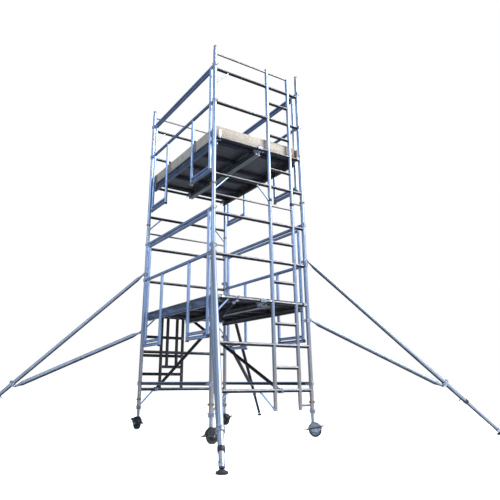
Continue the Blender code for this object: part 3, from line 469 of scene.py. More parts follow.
# rungs: painted shade over all but the top of the round
tubeMetal("rungTube", {**plainTube, "color": (0.34, 0.345, 0.37), "stainColor": (0.17, 0.14, 0.12),
                       "stain": 0.6,
                       "grime": (0.008, 0.008, 0.011), "under": 0.98, "underStart": 0.45, "underFull": -0.15,
                       "ribPitch": 0.0033, "bump": 0.35, "bumpDepth": 0.0009})
tubeMetal("thinRail", {**plainTube, "color": (0.20, 0.19, 0.20), "stainColor": (0.11, 0.09, 0.08),
                       "stain": 0.5,
                       "grime": (0.02, 0.02, 0.024)})
# level braces: darker overall and dark over most of the round, both painted shade
tubeMetal("braceTube", {**plainTube, "color": (0.22, 0.28, 0.42), "grime": (0.007, 0.008, 0.012),
                        "under": 0.98,
                        "underStart": 0.60, "underFull": 0.0})
tubeMetal("shadedTube", {**plainTube, "color": (0.030, 0.034, 0.045), "stainColor": (0.10, 0.10, 0.11),
                         "stain": 0.35, "rough": 0.45, "grime": (0.008, 0.008, 0.010), "under": 0.9})
tubeMetal("stayTube", {**plainTube, "color": (0.40, 0.45, 0.55), "stain": 0.22, "rough": 0.40, "under": 0.95,
                       "bump": 0.06, "grime": (0.010, 0.012, 0.016), "underStart": 0.0, "underFull": -0.55})
tubeMetal("panelTube", {**plainTube, "color": (0.07, 0.065, 0.065), "stainColor": (0.03, 0.025, 0.025),
                        "stain": 0.6, "under": 0.9})
tubeMetal("deckMetal", {**plainTube, "color": (0.22, 0.27, 0.36), "stainColor": (0.06, 0.07, 0.10),
                        "stain": 0.8,
                        "grime": (0.03, 0.03, 0.035), "under": 0.85})
# beamGrey and beamBrown: darker copies of the beam metal, painted shade for beams under the decks
tubeMetal("beamGrey", {**plainTube, "color": (0.21, 0.22, 0.23), "stainColor": (0.07, 0.07, 0.07),
                       "stain": 0.7,
                       "grime": (0.06, 0.06, 0.06), "under": 0.6})
tubeMetal("beamBrown", {**plainTube, "color": (0.060, 0.050, 0.045), "stainColor": (0.022, 0.018, 0.016),
                        "stain": 0.8, "grime": (0.016, 0.013, 0.012), "under": 0.8, "metallic": 0.6})
# cross members: near black, painted shade under the deck
tubeMetal("crossMetal", {**plainTube, "color": (0.030, 0.032, 0.045), "stainColor": (0.010, 0.010, 0.014),
                         "stain": 0.7, "under": 0.5, "rough": 0.6, "metallic": 0.4})
tubeMetal("screwMetal", {**plainTube, "color": (0.34, 0.38, 0.45), "stainColor": (0.16, 0.13, 0.11),
                         "stain": 0.7,
                         "rough": 0.42, "under": 0.7})
tubeMetal("weldBead", {**plainTube, "color": (0.50, 0.53, 0.60), "stain": 0.6, "rough": 0.45, "under": 0.7})
print("tube finishes ready")


def wornMaterial(name, look):
    tree, shader = startMaterial(name, look["metallic"], 0.5)
    worn = useGroup(tree, "worn", Color=(*look["color"], 1), Bare=(*look["bare"], 1), Dust=(*look["dust"], 1),
                    Wear=look["wear"], Dusting=look["dusting"], Grain=look["grain"])
    tree.links.new(worn.outputs["Color"], shader.inputs["Base Color"])
    tree.links.new(worn.outputs["Roughness"], shader.inputs["Roughness"])
    bump(tree, shader, worn.outputs["Height"], look["bump"], 0.0008)


castSkin = {"color": (0.20, 0.24, 0.32), "bare": (0.55, 0.60, 0.68), "dust": (0.22, 0.19, 0.16), "wear": 0.9,
            "dusting": 0.45, "grain": 340.0, "bump": 0.35, "metallic": 0.75}
wornMaterial("castMetal", castSkin)
wornMaterial("boltSteel", {**castSkin, "color": (0.26, 0.27, 0.30), "dust": (0.16, 0.10, 0.06), "bump": 0.15})
wornMaterial("castorBlack", {**castSkin, "color": (0.012, 0.013, 0.016), "bare": (0.16, 0.17, 0.19),
                             "wear": 0.5,
                             "dusting": 0.12, "dust": (0.10, 0.10, 0.10), "metallic": 0.2})
wornMaterial("castorGrey", {**castSkin, "color": (0.20, 0.25, 0.33), "dusting": 0.3,
                            "dust": (0.08, 0.09, 0.11)})
wornMaterial("blackPlastic", {**castSkin, "color": (0.010, 0.010, 0.012), "bare": (0.05, 0.05, 0.05),
                              "wear": 0.3, "dusting": 0.1, "dust": (0.08, 0.08, 0.08), "metallic": 0.0,
                              "bump": 0.12})
wornMaterial("tanPlastic", {**castSkin, "color": (0.20, 0.115, 0.06), "bare": (0.34, 0.25, 0.17), "wear": 0.4,
                            "dusting": 0.35, "dust": (0.30, 0.25, 0.19), "metallic": 0.0, "bump": 0.15})
wornMaterial("paleBracket", {**castSkin, "color": (0.62, 0.60, 0.56), "bare": (0.8, 0.8, 0.78), "wear": 0.5,
                             "dusting": 0.3, "metallic": 0.1})
wornMaterial("tyreRubber", {**castSkin, "color": (0.014, 0.014, 0.016), "bare": (0.05, 0.05, 0.05),
                            "wear": 0.3,
                            "dusting": 0.22, "dust": (0.16, 0.14, 0.12), "metallic": 0.0, "grain": 160.0})
wornMaterial("capSteel", {**castSkin, "color": (0.13, 0.11, 0.10), "dust": (0.20, 0.13, 0.09)})


def timber(name, look):
    tree, shader = startMaterial(name, 0.0, look["rough"])
    grain = useGroup(tree, "grain", Light=(*look["light"], 1), Dark=(*look["dark"], 1), Fibre=look["fibre"])
    worn = useGroup(tree, "worn", Color=grain.outputs["Color"], Bare=(*look["edge"], 1),
                    Dust=(*look["dust"], 1),
                    Wear=look["wear"], Dusting=look["dusting"], Grain=120.0)
    # painted shade on the faces of the board that point down
    under = useGroup(tree, "under", Color=worn.outputs["Color"], Grime=(*look["grime"], 1),
                     Amount=look["under"])
    tree.links.new(under.outputs["Color"], shader.inputs["Base Color"])
    height = maths(tree, "ADD", grain.outputs["Height"], maths(tree, "MULTIPLY", worn.outputs["Height"], 0.3))
    bump(tree, shader, height, look["bump"], 0.0012)


boardWood = {"light": (0.42, 0.36, 0.29), "dark": (0.26, 0.21, 0.155), "fibre": 0.8,
             "edge": (0.56, 0.52, 0.45),
             "dust": (0.36, 0.33, 0.29), "wear": 0.8, "dusting": 0.45, "rough": 0.78, "bump": 0.5,
             "grime": (0.10, 0.08, 0.06), "under": 0.5}
timber("toeTimber", boardWood)
timber("toeStrap", {**boardWood, "light": (0.46, 0.25, 0.10), "dark": (0.25, 0.11, 0.04), "dusting": 0.2})
timber("plyEdge", {**boardWood, "light": (0.035, 0.026, 0.020), "dark": (0.010, 0.008, 0.007), "wear": 0.2,
                   "dusting": 0.1, "dust": (0.05, 0.05, 0.05), "edge": (0.10, 0.08, 0.06), "under": 0.3})


def deckFace(name, look):       # film-faced board: a raised grip pattern on top, and painted shade on the faces that point down
    tree, shader = startMaterial(name, 0.0, look["rough"])
    coords = placeCoords(tree)
    cells = put(tree, "ShaderNodeTexVoronoi", {"feature": "DISTANCE_TO_EDGE"}, Vector=coords,
                Scale=look["cells"],
                Randomness=0.0)
    grip = span(tree, cells.outputs["Distance"], 0.02, 0.12)
    grain = useGroup(tree, "grain", Light=(*look["light"], 1), Dark=(*look["dark"], 1), Fibre=0.7)
    worn = useGroup(tree, "worn", Color=grain.outputs["Color"], Bare=(*look["bare"], 1),
                    Dust=(*look["dust"], 1),
                    Wear=0.4, Dusting=look["dusting"], Grain=90.0)
    # painted shade on the faces of the deck board that point down
    under = useGroup(tree, "under", Color=worn.outputs["Color"], Grime=(*look["grime"], 1),
                     Amount=look["under"])
    tree.links.new(under.outputs["Color"], shader.inputs["Base Color"])
    tree.links.new(worn.outputs["Roughness"], shader.inputs["Roughness"])
    bump(tree, shader, maths(tree, "ADD", grip, maths(tree, "MULTIPLY", grain.outputs["Height"], 0.2)), 0.4,
         0.0008)


# the board's dark film, made darker still as painted shade under the deck
deckFilm = {"light": (0.030, 0.024, 0.023), "dark": (0.012, 0.010, 0.011), "bare": (0.06, 0.05, 0.04),
            "dust": (0.05, 0.045, 0.04), "dusting": 0.25, "rough": 0.7, "cells": 95.0,
            "grime": (0.0035, 0.0035, 0.008),
            "under": 0.97}
deckFace("deckFilm", deckFilm)
deckFace("hatchFilm", {**deckFilm, "light": (0.05, 0.038, 0.03), "dark": (0.025, 0.018, 0.014), "under": 0.6,
                       "grime": (0.022, 0.016, 0.013)})
print("finishes ready:", len(finishes))


# end frames
endFrames = {"gusset": 0.011, "gussetLeg": 0.215, "gussetTrim": 0.012, "gussetBead": 0.0045, "mitre": 1.414,
             "thinRail": 0.0125, "thinRise": 0.235, "footDrop": 0.215, "ladderRung": 0.0205,
             "stileSpacing": 0.358,
             "stileToPost": 0.178, "stubDrop": 0.165, "spigotRise": 0.070, "spigotNeck": 0.0175,
             "spigotGap": 0.0006, "capRadius": 0.0245, "rivet": 0.0045, "rivetDrops": (0.018, 0.036),
             "clipRise": 0.085, "clipHeight": 0.026, "clipWall": 0.0035, "clipGap": 0.0004, "clipSpan": 150,
             "earTurn": 1.05, "ear": (0.014, 0.012, 0.018), "bandRise": 0.006, "bandHeight": 0.038,
             "bandWall": 0.004, "sleeve": 0.0016, "sleeveHeight": 0.020}
rightStile = rightX - endFrames["stileToPost"]
leftStile = rightStile - endFrames["stileSpacing"]


def spigot(shape, x, y, top, shown):        # stub for the next post; shown when nothing stands on it
    sizes = endFrames
    bore = tower["post"] - tower["postWall"] - sizes["spigotGap"]
    rise, neck, cap = sizes["spigotRise"], sizes["spigotNeck"], sizes["capRadius"]
    profile = [(-0.02, bore), (0.020, bore), (0.034, bore * 0.97), (0.050, neck), (rise - 0.009, neck),
               (rise - 0.009, 0)]
    turn(shape, (x, y, top), up, profile, "postTube", 24)
    if shown:
        profile = [(rise - 0.014, neck), (rise - 0.010, cap), (rise - 0.003, cap), (rise, cap - 0.004),
                   (rise, 0)]
        turn(shape, (x, y, top), up, profile, "capSteel", 24)
    for drop in sizes["rivetDrops"]:
        for face in (-1, 1):
            rivet(shape, (x + face * tower["post"], y, top - drop), (face, 0, 0), sizes["rivet"])


def lockClip(shape, x, y, z, heading):      # sprung clip that pins the tube end in the post
    sizes = endFrames
    centre, radius = Vector((x, y, z)), tower["post"] + sizes["clipGap"]
    toward = Vector((math.cos(heading), math.sin(heading), 0))
    ringArc(shape, centre, up, toward, radius, sizes["clipWall"], sizes["clipHeight"], sizes["clipSpan"],
            "tanPlastic", 24, 0.0012)
    for turnBy in (-sizes["earTurn"], sizes["earTurn"]):
        ear = Vector((math.cos(heading + turnBy), math.sin(heading + turnBy), 0))
        block(shape, centre + ear * (radius + 0.008), sizes["ear"], "tanPlastic", basis(up, ear), 0.002)
    turn(shape, centre + toward * (radius + 0.002), toward,
         [(0, 0.006), (0.006, 0.006), (0.008, 0.004), (0.008, 0)], "boltSteel", 12)


def gussetBar(shape, x, y, z, inward):
    leg, radius, trim = endFrames["gussetLeg"], endFrames["gusset"], endFrames["gussetTrim"]
    bead, mitre = radius + endFrames["gussetBead"], endFrames["mitre"]
    low, high = Vector((x, y, z - leg)), Vector((x + inward * leg, y, z))
    slope = (high - low).normalized()
    tube(shape, low + slope * trim, high - slope * trim, radius, "railTube", sides=14)
    for end, direction, reach in ((low, slope, tower["post"] * mitre), (high, -slope, tower["rung"] * mitre)):
        turn(shape, end + direction * (reach - 0.006), direction, [(0, bead), (0.005, bead), (0.010, radius)],
             "weldBead", 14)


def stileBand(shape, x, y, z):              # black sleeve where two ladder sections meet
    radius, tall = tower["stile"], endFrames["bandHeight"]
    lip, wall = radius + 0.0028, radius + endFrames["bandWall"]
    turn(shape, (x, y, z), up, [(0, radius), (0, lip), (0.002, wall), (tall - 0.002, wall), (tall, lip),
                                (tall, radius)], "blackPlastic", 24)


def ladderPart(shape, lift, y, bottom, top, railZ):     # two stiles, their steps and a stub to the post
    sizes = endFrames
    indices = range(lifts[lift]["first"], lifts[lift]["first"] + lifts[lift]["count"])
    rightTop = railZ + sizes["thinRail"] if lift == "upper" else top
    for x, stileTop in ((leftStile, top), (rightStile, rightTop)):
        tube(shape, (x, y, bottom), (x, y, stileTop), tower["stile"], "postTube", True, lift == "lower",
             sides=24)
        for index in indices:
            for side in (-1, 1):
                weld(shape, (x, y, rungZ(index)), up, tower["stile"], (side, 0, 0), tower["rung"])
        if lift == "upper":
            stileBand(shape, x, y, bottom + sizes["bandRise"])
    for index in indices:
        z = rungZ(index) + tower["pitch"] / 2
        if z < railZ - tower["pitch"] / 4:
            tube(shape, (leftStile, y, z), (rightStile, y, z), sizes["ladderRung"], "rungTube", sides=20)
            weld(shape, (leftStile, y, z), up, tower["stile"], (1, 0, 0), sizes["ladderRung"])
            weld(shape, (rightStile, y, z), up, tower["stile"], (-1, 0, 0), sizes["ladderRung"])
    stub = rungZ(indices[0]) - sizes["stubDrop"]
    tube(shape, (rightStile, y, stub), (rightX, y, stub), sizes["thinRail"], "thinRail", sides=16)
    weld(shape, (rightX, y, stub), up, tower["post"], (-1, 0, 0), sizes["thinRail"])
    weld(shape, (rightStile, y, stub), up, tower["stile"], (1, 0, 0), sizes["thinRail"])


def endFrame(lift, end, gussetRungs, ladder, panel):
    sizes = endFrames
    first, count = lifts[lift]["first"], lifts[lift]["count"]
    y = frontY if end < 0 else backY
    bottom, top = rungZ(first) - sizes["footDrop"], rungZ(first + count) - sizes["footDrop"]
    post, sleeve, tall = tower["post"], tower["post"] + sizes["sleeve"], sizes["sleeveHeight"]
    shape = Shape()
    for x in (leftX, rightX):
        inward = -math.copysign(1, x)
        tube(shape, (x, y, bottom), (x, y, top), post, "postTube", True, True, tower["postWall"], 28)
        spigot(shape, x, y, top, lift == "upper")
        lockClip(shape, x, y, bottom + sizes["clipRise"], math.radians(225 if end < 0 else 135))
        turn(shape, (x, y, bottom), up, [(0, post), (0, sleeve), (tall - 0.002, sleeve), (tall, post)],
             "postTube", 28)
        for index in range(first, first + count):
            weld(shape, (x, y, rungZ(index)), up, post, (inward, 0, 0), tower["rung"])
    for index in range(first, first + count):
        tube(shape, (leftX, y, rungZ(index)), (rightX, y, rungZ(index)), tower["rung"], "rungTube", sides=24)
    railEnd = rightStile if ladder else rightX
    railZ = rungZ(first + count - 1) + sizes["thinRise"]
    tube(shape, (leftX, y, railZ), (railEnd, y, railZ), sizes["thinRail"], "thinRail", sides=16)
    weld(shape, (leftX, y, railZ), up, post, (1, 0, 0), sizes["thinRail"])
    roots = [(leftX, 1, gussetRungs)]
    roots.append((leftStile, -1, gussetRungs[:1]) if ladder else (rightX, -1, gussetRungs))
    for x, inward, rungs in roots:
        for index in rungs:
            gussetBar(shape, x, y, rungZ(first + index), inward)
    if ladder:
        ladderPart(shape, lift, y, bottom, top, railZ)
    if panel:
        infillPanel(shape, y)
    kind = "ladder" if ladder else "span"
    finishPiece(f"{kind}Frame_{lift}", shape, "tower", "aluminium_tube", f"{kind}_frame_{lift}")


infill = {"tube": 0.0225, "rail": 0.0205, "left": 0.295, "width": 0.340, "inset": 0.095,
          "rails": (0.20, 0.45, 0.707),
          "footBar": 0.30}


def infillPanel(shape, y):
    left = leftX + infill["left"]
    right = left + infill["width"]
    low, high = rungZ(0), rungZ(2)
    for x in (left, right):
        tube(shape, (x, y, low), (x, y, high), infill["tube"], "panelTube")
        weld(shape, (x, y, low), across, tower["rung"], up, infill["tube"])
        weld(shape, (x, y, high), across, tower["rung"], -up, infill["tube"])
    for rise in infill["rails"]:
        tube(shape, (leftX, y, low + rise), (right, y, low + rise), infill["rail"], "shadedTube")
        weld(shape, (leftX, y, low + rise), up, tower["post"], (1, 0, 0), infill["rail"])
        weld(shape, (right, y, low + rise), up, infill["tube"], (-1, 0, 0), infill["rail"])
    foot = low + infill["footBar"]
    for x in (left + infill["inset"], right - infill["inset"]):
        tube(shape, (x, y, foot), (x, y, high), infill["tube"], "panelTube")
        weld(shape, (x, y, high), across, tower["rung"], -up, infill["tube"])
    tube(shape, (left, y, foot), (right, y, foot), infill["rail"], "panelTube")
    weld(shape, (left, y, foot), up, infill["tube"], (1, 0, 0), infill["rail"])


endFrame("lower", -1, (0, 2), True, False)
endFrame("upper", -1, (0, 3), True, False)
endFrame("lower", 1, (0, 2), False, True)
endFrame("upper", 1, (0, 3), False, False)
print("end frames built")


# hooks, guard frames and braces
hooks = {"gap": 0.0006, "wall": 0.0095, "height": 0.046, "span": 118, "neck": 0.038, "neckRadius": 0.0155,
         "collar": 0.0022, "catch": (0.017, 0.016), "tab": (0.012, 0.011), "pin": 0.0055}


def hookOn(shape, centre, tubeAxis, tubeRadius, middle, railWay, railRadius):
    # a cast hook round a tube; middle points at its closed back, railWay along the rail away from the tube
    centre, railWay, middle = Vector(centre), Vector(railWay).normalized(), Vector(middle).normalized()
    inner, wall, height, neck = tubeRadius + hooks["gap"], hooks["wall"], hooks["height"], hooks["neck"]
    halfSpan, pin, collar = math.radians(hooks["span"]), hooks["pin"], railRadius + hooks["collar"]
    ringArc(shape, centre, tubeAxis, middle, inner, wall, height, hooks["span"], "castMetal", 24, 0.003)
    turn(shape, centre + railWay * (tubeRadius + wall * 0.6), railWay,
         [(0, 0), (0, hooks["neckRadius"] + 0.003), (0.008, hooks["neckRadius"]),
          (neck - 0.012, railRadius * 0.93),
          (neck, collar), (neck + 0.010, collar), (neck + 0.012, railRadius)], "castMetal", 20)
    tip = middle * math.cos(halfSpan) - railWay * math.sin(halfSpan)
    tipPoint, turned = centre + tip * (inner + wall / 2), basis(tubeAxis, tip)
    block(shape, tipPoint - railWay * 0.006, (*hooks["catch"], height * 0.62), "castMetal", turned, 0.003)
    turn(shape, tipPoint + Vector(tubeAxis).normalized() * (height / 2 - 0.004), tubeAxis,
         [(-0.004, pin), (0.008, pin), (0.010, 0.0035), (0.010, 0)], "boltSteel", 12)
    block(shape, tipPoint + tip * 0.013, (*hooks["tab"], height * 0.42), "tanPlastic", turned, 0.003)


guards = {"rail": 0.0222, "upright": 0.0205, "endInset": 0.105, "innerInset": 0.595, "topRise": 0.060,
          "midRise": 0.015, "footRise": 0.075, "tail": 0.030, "pair": 0.0195, "pairGap": 0.052}


def guardFrame(sideName, lift):
    sizes = guards
    rail, radius, pair = sizes["rail"], sizes["upright"], sizes["pair"]
    x = leftX if sideName == "left" else rightX
    outward = Vector((math.copysign(1, x), 0, 0))
    deck = lifts[lift]["deck"]
    top, middle = rungZ(deck + 2) + sizes["topRise"], rungZ(deck + 1) + sizes["midRise"]
    foot = rungZ(deck - 1) + sizes["footRise"]
    tail, lowPair, highPair = foot - sizes["tail"], foot + sizes["pairGap"], top - sizes["pairGap"]
    reach = tower["post"] + hooks["neck"]
    shape = Shape()
    for z in (top, middle):
        tube(shape, (x, frontY + reach, z), (x, backY - reach, z), rail, "railTube", sides=24)
        for y, way in ((frontY, along), (backY, -along)):
            hookOn(shape, (x, y, z), up, tower["post"], outward, way, rail)
    for y, way in ((frontY, 1), (backY, -1)):
        outer, inner = y + way * sizes["endInset"], y + way * sizes["innerInset"]
        tube(shape, (x, outer, foot), (x, outer, top), radius, "railTube", sides=24)
        tube(shape, (x, inner, tail), (x, inner, middle), radius, "railTube", sides=24)
        tube(shape, (x, outer - way * radius, foot), (x, inner, foot), rail, "railTube", sides=24)
        for spot, z, rise in ((outer, top, -up), (outer, middle, -up), (outer, middle, up),
                              (inner, middle, -up),
                              (outer, foot, up), (inner, foot, up)):
            weld(shape, (x, spot, z), along, rail, rise, radius)
        tube(shape, (x, outer, lowPair), (x, inner, lowPair), pair, "railTube", sides=20)
        for spot, z, facing in ((outer, lowPair, way), (inner, lowPair, -way), (outer, highPair, way)):
            weld(shape, (x, spot, z), up, radius, (0, facing, 0), pair)
        plug = "tanPlastic" if way > 0 else "blackPlastic"
        turn(shape, (x, inner, tail), -up, [(-0.014, radius), (-0.014, radius + 0.003),
                                            (0.003, radius + 0.003),
             (0.006, radius), (0.006, 0)], plug, 24)
        turn(shape, (x, outer - way * radius, foot), (0, -way, 0),
             [(-0.004, rail), (0.0, rail + 0.001), (0.003, rail - 0.002), (0.003, 0)], "blackPlastic", 24)
    half = backY - sizes["endInset"]
    tube(shape, (x, -half, highPair), (x, half, highPair), pair, "railTube", sides=20)
    finishPiece(f"guardFrame_{sideName}_{lift}", shape, "tower", "aluminium_tube",
                f"guard_frame_{sideName}_{lift}")


for liftName in lifts:
    guardFrame("left", liftName)
    guardFrame("right", liftName)

braces = {"radius": 0.0205, "lowA": -0.445, "highA": -0.365, "lowB": 0.222, "highB": 0.075}


def levelBrace(sideName):
    x = leftX if sideName == "left" else rightX
    outward = Vector((math.copysign(1, x), 0, 0))
    z = rungZ(0) + tower["braceRise"]
    reach = tower["post"] + hooks["neck"]
    shape = Shape()
    tube(shape, (x, frontY + reach, z), (x, backY - reach, z), braces["radius"], "braceTube", sides=24)
    for y, way in ((frontY, along), (backY, -along)):
        hookOn(shape, (x, y, z), up, tower["post"], outward, way, braces["radius"])
    finishPiece(f"levelBrace_{sideName}", shape, "tower", "aluminium_tube", f"level_brace_{sideName}")


def diagonalBrace(sideName, lowY, highY, lowX, highX, finish):
    low, high = Vector((lowX, lowY, rungZ(0))), Vector((highX, highY, rungZ(2)))
    way = (high - low).normalized()
    reach = tower["rung"] + hooks["neck"]
    shape = Shape()
    tube(shape, low + way * reach, high - way * reach, braces["radius"], finish, sides=24)
    for centre, direction in ((low, way), (high, -way)):
        flatWay = Vector((0, direction.y, direction.z)).normalized()
        hookOn(shape, centre, across, tower["rung"], flatWay, direction, braces["radius"])
    finishPiece(f"diagonalBrace_{sideName}", shape, "tower", "aluminium_tube", f"diagonal_brace_{sideName}")


levelBrace("left")
levelBrace("right")
diagonalBrace("left", backY, frontY, braces["lowA"], braces["highA"], "shadedTube")
diagonalBrace("right", frontY, backY, braces["lowB"], braces["highB"], "shadedTube")
print("guard frames and braces built")

# decks
decks = {"beamHeight": 0.105, "beamWidth": 0.030, "web": 0.0035, "crossHeight": 0.036, "crossWidth": 0.040,
         "crossWall": 0.003, "crossLip": 0.008, "claw": 0.008, "clawWidth": 0.036, "tipDrop": 0.012,
         "clawRoot": 0.064, "clawClearance": 0.005, "clawRivets": (0.0, -0.028), "rivetInset": 0.055,
         "blockInset": 0.052, "gap": 0.0003, "endGap": 0.012, "crossInset": 0.105, "crossCount": 5,
         "crossRivet": 0.0045, "rivetPitch": 0.16, "lidGap": 0.003, "lidRelief": 0.0015, "trim": 0.0022,
         "lugs": (-0.557, -0.377, -0.028, 0.103)}
sideView = Matrix(((0, 0, 1, 0), (1, 0, 0, 0), (0, 1, 0, 0), (0, 0, 0, 1)))      # local XYZ to world YZX
frontView = Matrix(((1, 0, 0, 0), (0, 0, -1, 0), (0, 1, 0, 0), (0, 0, 0, 1)))    # local XYZ to world X Z -Y


def beamOutline():          # I section with a bead along each flange
    half, web, high = decks["beamWidth"] / 2, decks["web"], decks["beamHeight"]
    right = [(half, 0), (half, -web), (half - 0.003, -web - 0.0012), (web / 2 + 0.003, -web - 0.0012),
             (web / 2, -web - 0.005), (web / 2, -high * 0.45), (web / 2 + 0.0022, -high * 0.48),
             (web / 2 + 0.0022, -high * 0.54), (web / 2, -high * 0.57), (web / 2, web + 0.005 - high),
             (web / 2 + 0.003, web + 0.0012 - high), (half - 0.003, web + 0.0012 - high), (half, web - high),
             (half, -high)]
    return right + [(-x, z) for x, z in reversed(right)]


def clawOutline():          # side view over a rung at the origin, the deck to the left
    radius, thick = tower["rung"], decks["claw"]
    face, under = radius + decks["clawClearance"], radius + decks["gap"]
    back, root = under + thick, -radius - decks["clawClearance"] - decks["clawRoot"]
    inner = [(radius * 1.02 * math.cos(a), radius * 1.02 * math.sin(a)) for a in
             (math.radians(155 - 140 * k / 10) for k in range(11))]
    return ([(root, back), (root, -radius), (root + 0.012, -radius - 0.006), (-face, -radius)] + inner +
            [(face - 0.002, -decks["tipDrop"]), (face + thick - 0.003, -decks["tipDrop"] - 0.002),
             (face + thick, -decks["tipDrop"] + 0.002), (face + thick, back - 0.010),
             (face + thick - 0.010, back)])


def crossPlaces(lift, hatched, last):
    if not hatched:
        return [-last + 2 * last * k / (decks["crossCount"] - 1) for k in range(decks["crossCount"])]
    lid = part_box(f"deck_hatch_{lift}")
    rest = decks["crossCount"] - 2
    return [lid[0].y] + [lid[1].y + (last - lid[1].y) * k / rest for k in range(rest + 1)]


# left outer beams keep the lit beam metal; the right outer and middle beams take darker copies as painted
# shade
def beamFinishByShade(sideName, lift, outer):
    if outer:
        return "deckMetal" if sideName == "left" else "beamBrown"
    return "beamGrey" if lift == "upper" else "beamBrown"


def deckFrame(sideName, lift):
    sizes = decks
    low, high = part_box(f"deck_board_{sideName}_{lift}")
    top, half, web = low.z - sizes["gap"], sizes["beamWidth"] / 2, sizes["web"]
    beams = (low.x + half, high.x - half)
    middle = sum(beams) / 2
    beamEnd = backY - tower["rung"] - sizes["endGap"]
    rung = rungZ(lifts[lift]["deck"])
    crosses = crossPlaces(lift, sideName == "right", beamEnd - sizes["crossInset"])
    shape = Shape()
    for x in beams:
        prism(shape, beamOutline(), 2 * beamEnd, Matrix.Translation((x, 0, top)) @ frontView,
              beamFinishByShade(sideName, lift, abs(x) > 0.3))
        for end in (-1, 1):
            outline = [(end * u, w) for u, w in clawOutline()]
            place = Matrix.Translation((x, end * backY, rung)) @ sideView
            prism(shape, outline, sizes["clawWidth"], place, "castMetal", 0.0012)
            for rise in sizes["clawRivets"]:
                for face in (-1, 1):
                    spot = (x + face * sizes["clawWidth"] / 2, end * (backY - sizes["rivetInset"]),
                            rung + rise)
                    rivet(shape, spot, (face, 0, 0))
            block(shape, (x, end * (backY - sizes["blockInset"]), top - sizes["beamHeight"] * 0.62),
                  (sizes["beamWidth"] - 0.004, 0.030, sizes["beamHeight"] * 0.55), "castMetal", None, 0.002)
        for y in crosses:
            for offset in (-0.012, 0.012):
                rivet(shape, (x + math.copysign(web / 2, x - middle), y + offset, top - 0.020),
                      (x - middle, 0, 0),
                      sizes["crossRivet"])
    halfCross, tall = sizes["crossWidth"] / 2, sizes["crossHeight"]
    wall, lip = sizes["crossWall"], sizes["crossLip"]
    channel = [(-halfCross, 0), (-halfCross, -tall), (-halfCross + lip, -tall),
               (-halfCross + lip, wall - tall),
               (wall - halfCross, wall - tall), (wall - halfCross, -wall), (halfCross - wall, -wall),
               (halfCross - wall, wall - tall), (halfCross - lip, wall - tall), (halfCross - lip, -tall),
               (halfCross, -tall), (halfCross, 0)]
    for y in crosses:
        place = Matrix.Translation((middle, y, top - 0.002)) @ sideView
        prism(shape, channel, abs(beams[1] - beams[0]) - web, place, "crossMetal")
    windLocks(shape, beams, rung)
    for x in sizes["lugs"]:
        if lift == "lower" and low.x < x < high.x:
            hookLug(shape, x, frontY, rung)
    finishPiece(f"deckFrame_{sideName}_{lift}", shape, "tower", "aluminium_tube",
                f"deck_frame_{sideName}_{lift}")


def hookLug(shape, x, y, z):         # short cast hook over the rung, between the beams
    radius = tower["rung"] + 0.0004
    ringArc(shape, (x, y, z), across, up, radius, 0.008, 0.034, 96, "castMetal", 16, 0.002)
    block(shape, (x, y + 0.026, z + 0.012), (0.034, 0.026, 0.030), "castMetal", None, 0.003)
    bolt(shape, (x, y + 0.026, z + 0.027), up, 0.006, 0.005)


def windLocks(shape, beams, rung):          # turn-catches under the rung, beside the claws
    for x in beams:
        inward = math.copysign(0.026, sum(beams) / 2 - x)
        for end in (-1, 1):
            y = end * (backY - 0.030)
            turn(shape, (x, y, rung - 0.012), (inward, 0, 0), [(0, 0.007), (0.034, 0.007), (0.036, 0)],
                 "boltSteel",
                 12)
            block(shape, (x + inward, y + end * 0.018, rung - 0.030), (0.008, 0.062, 0.014), "castMetal",
                  Matrix.Rotation(-end * 0.35, 4, "X"), 0.003)


def deckBoard(sideName, lift):
    low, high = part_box(f"deck_board_{sideName}_{lift}")
    film = "hatchFilm" if sideName == "right" and lift == "lower" else "deckFilm"
    shape = Shape()
    pieces = [(low, high)]
    if sideName == "right":
        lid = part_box(f"deck_hatch_{lift}")
        gap, relief = decks["lidGap"], high.z - low.z + decks["lidRelief"]
        openLow = Vector((lid[0].x - gap, lid[0].y - gap, 0))
        openHigh = Vector((lid[1].x + relief, lid[1].y + gap, 0))
        pieces = [(low, Vector((high.x, openLow.y, high.z))), (Vector((low.x, openHigh.y, low.z)), high),
                  (Vector((low.x, openLow.y, low.z)), Vector((openLow.x, openHigh.y, high.z))),
                  (Vector((openHigh.x, openLow.y, low.z)), Vector((high.x, openHigh.y, high.z)))]
        hingeLeaves(shape, lift, openHigh.x)
    for lowest, highest in pieces:
        block(shape, (lowest + highest) / 2, highest - lowest, film, None, 0.0)
    trim = decks["trim"]
    for x in (low.x, high.x):
        block(shape, (x, 0, (low.z + high.z) / 2), (trim, high.y - low.y, high.z - low.z), "plyEdge", None,
              0.0006,
              1)
    for y in (low.y, high.y):
        block(shape, ((low.x + high.x) / 2, y, (low.z + high.z) / 2), (high.x - low.x, trim, high.z - low.z),
              "plyEdge", None, 0.0006, 1)
    count = int((high.y - low.y - 0.1) / decks["rivetPitch"])
    for x in (low.x + 0.016, high.x - 0.016):
        for k in range(count + 1):
            y = low.y + 0.05 + (high.y - low.y - 0.1) * k / count
            rivet(shape, (x, y, high.z), up, 0.0055)
    finishPiece(f"deckBoard_{sideName}_{lift}", shape, "tower", "deck_board", f"deck_board_{sideName}_{lift}")


hinges = {"width": 0.070, "leaf": 0.034, "offset": 0.20, "pin": 0.004, "plate": 0.0016,
          "rivets": (-0.022, 0.022),
          "rivet": 0.004, "rim": 0.0024, "grip": 0.055}


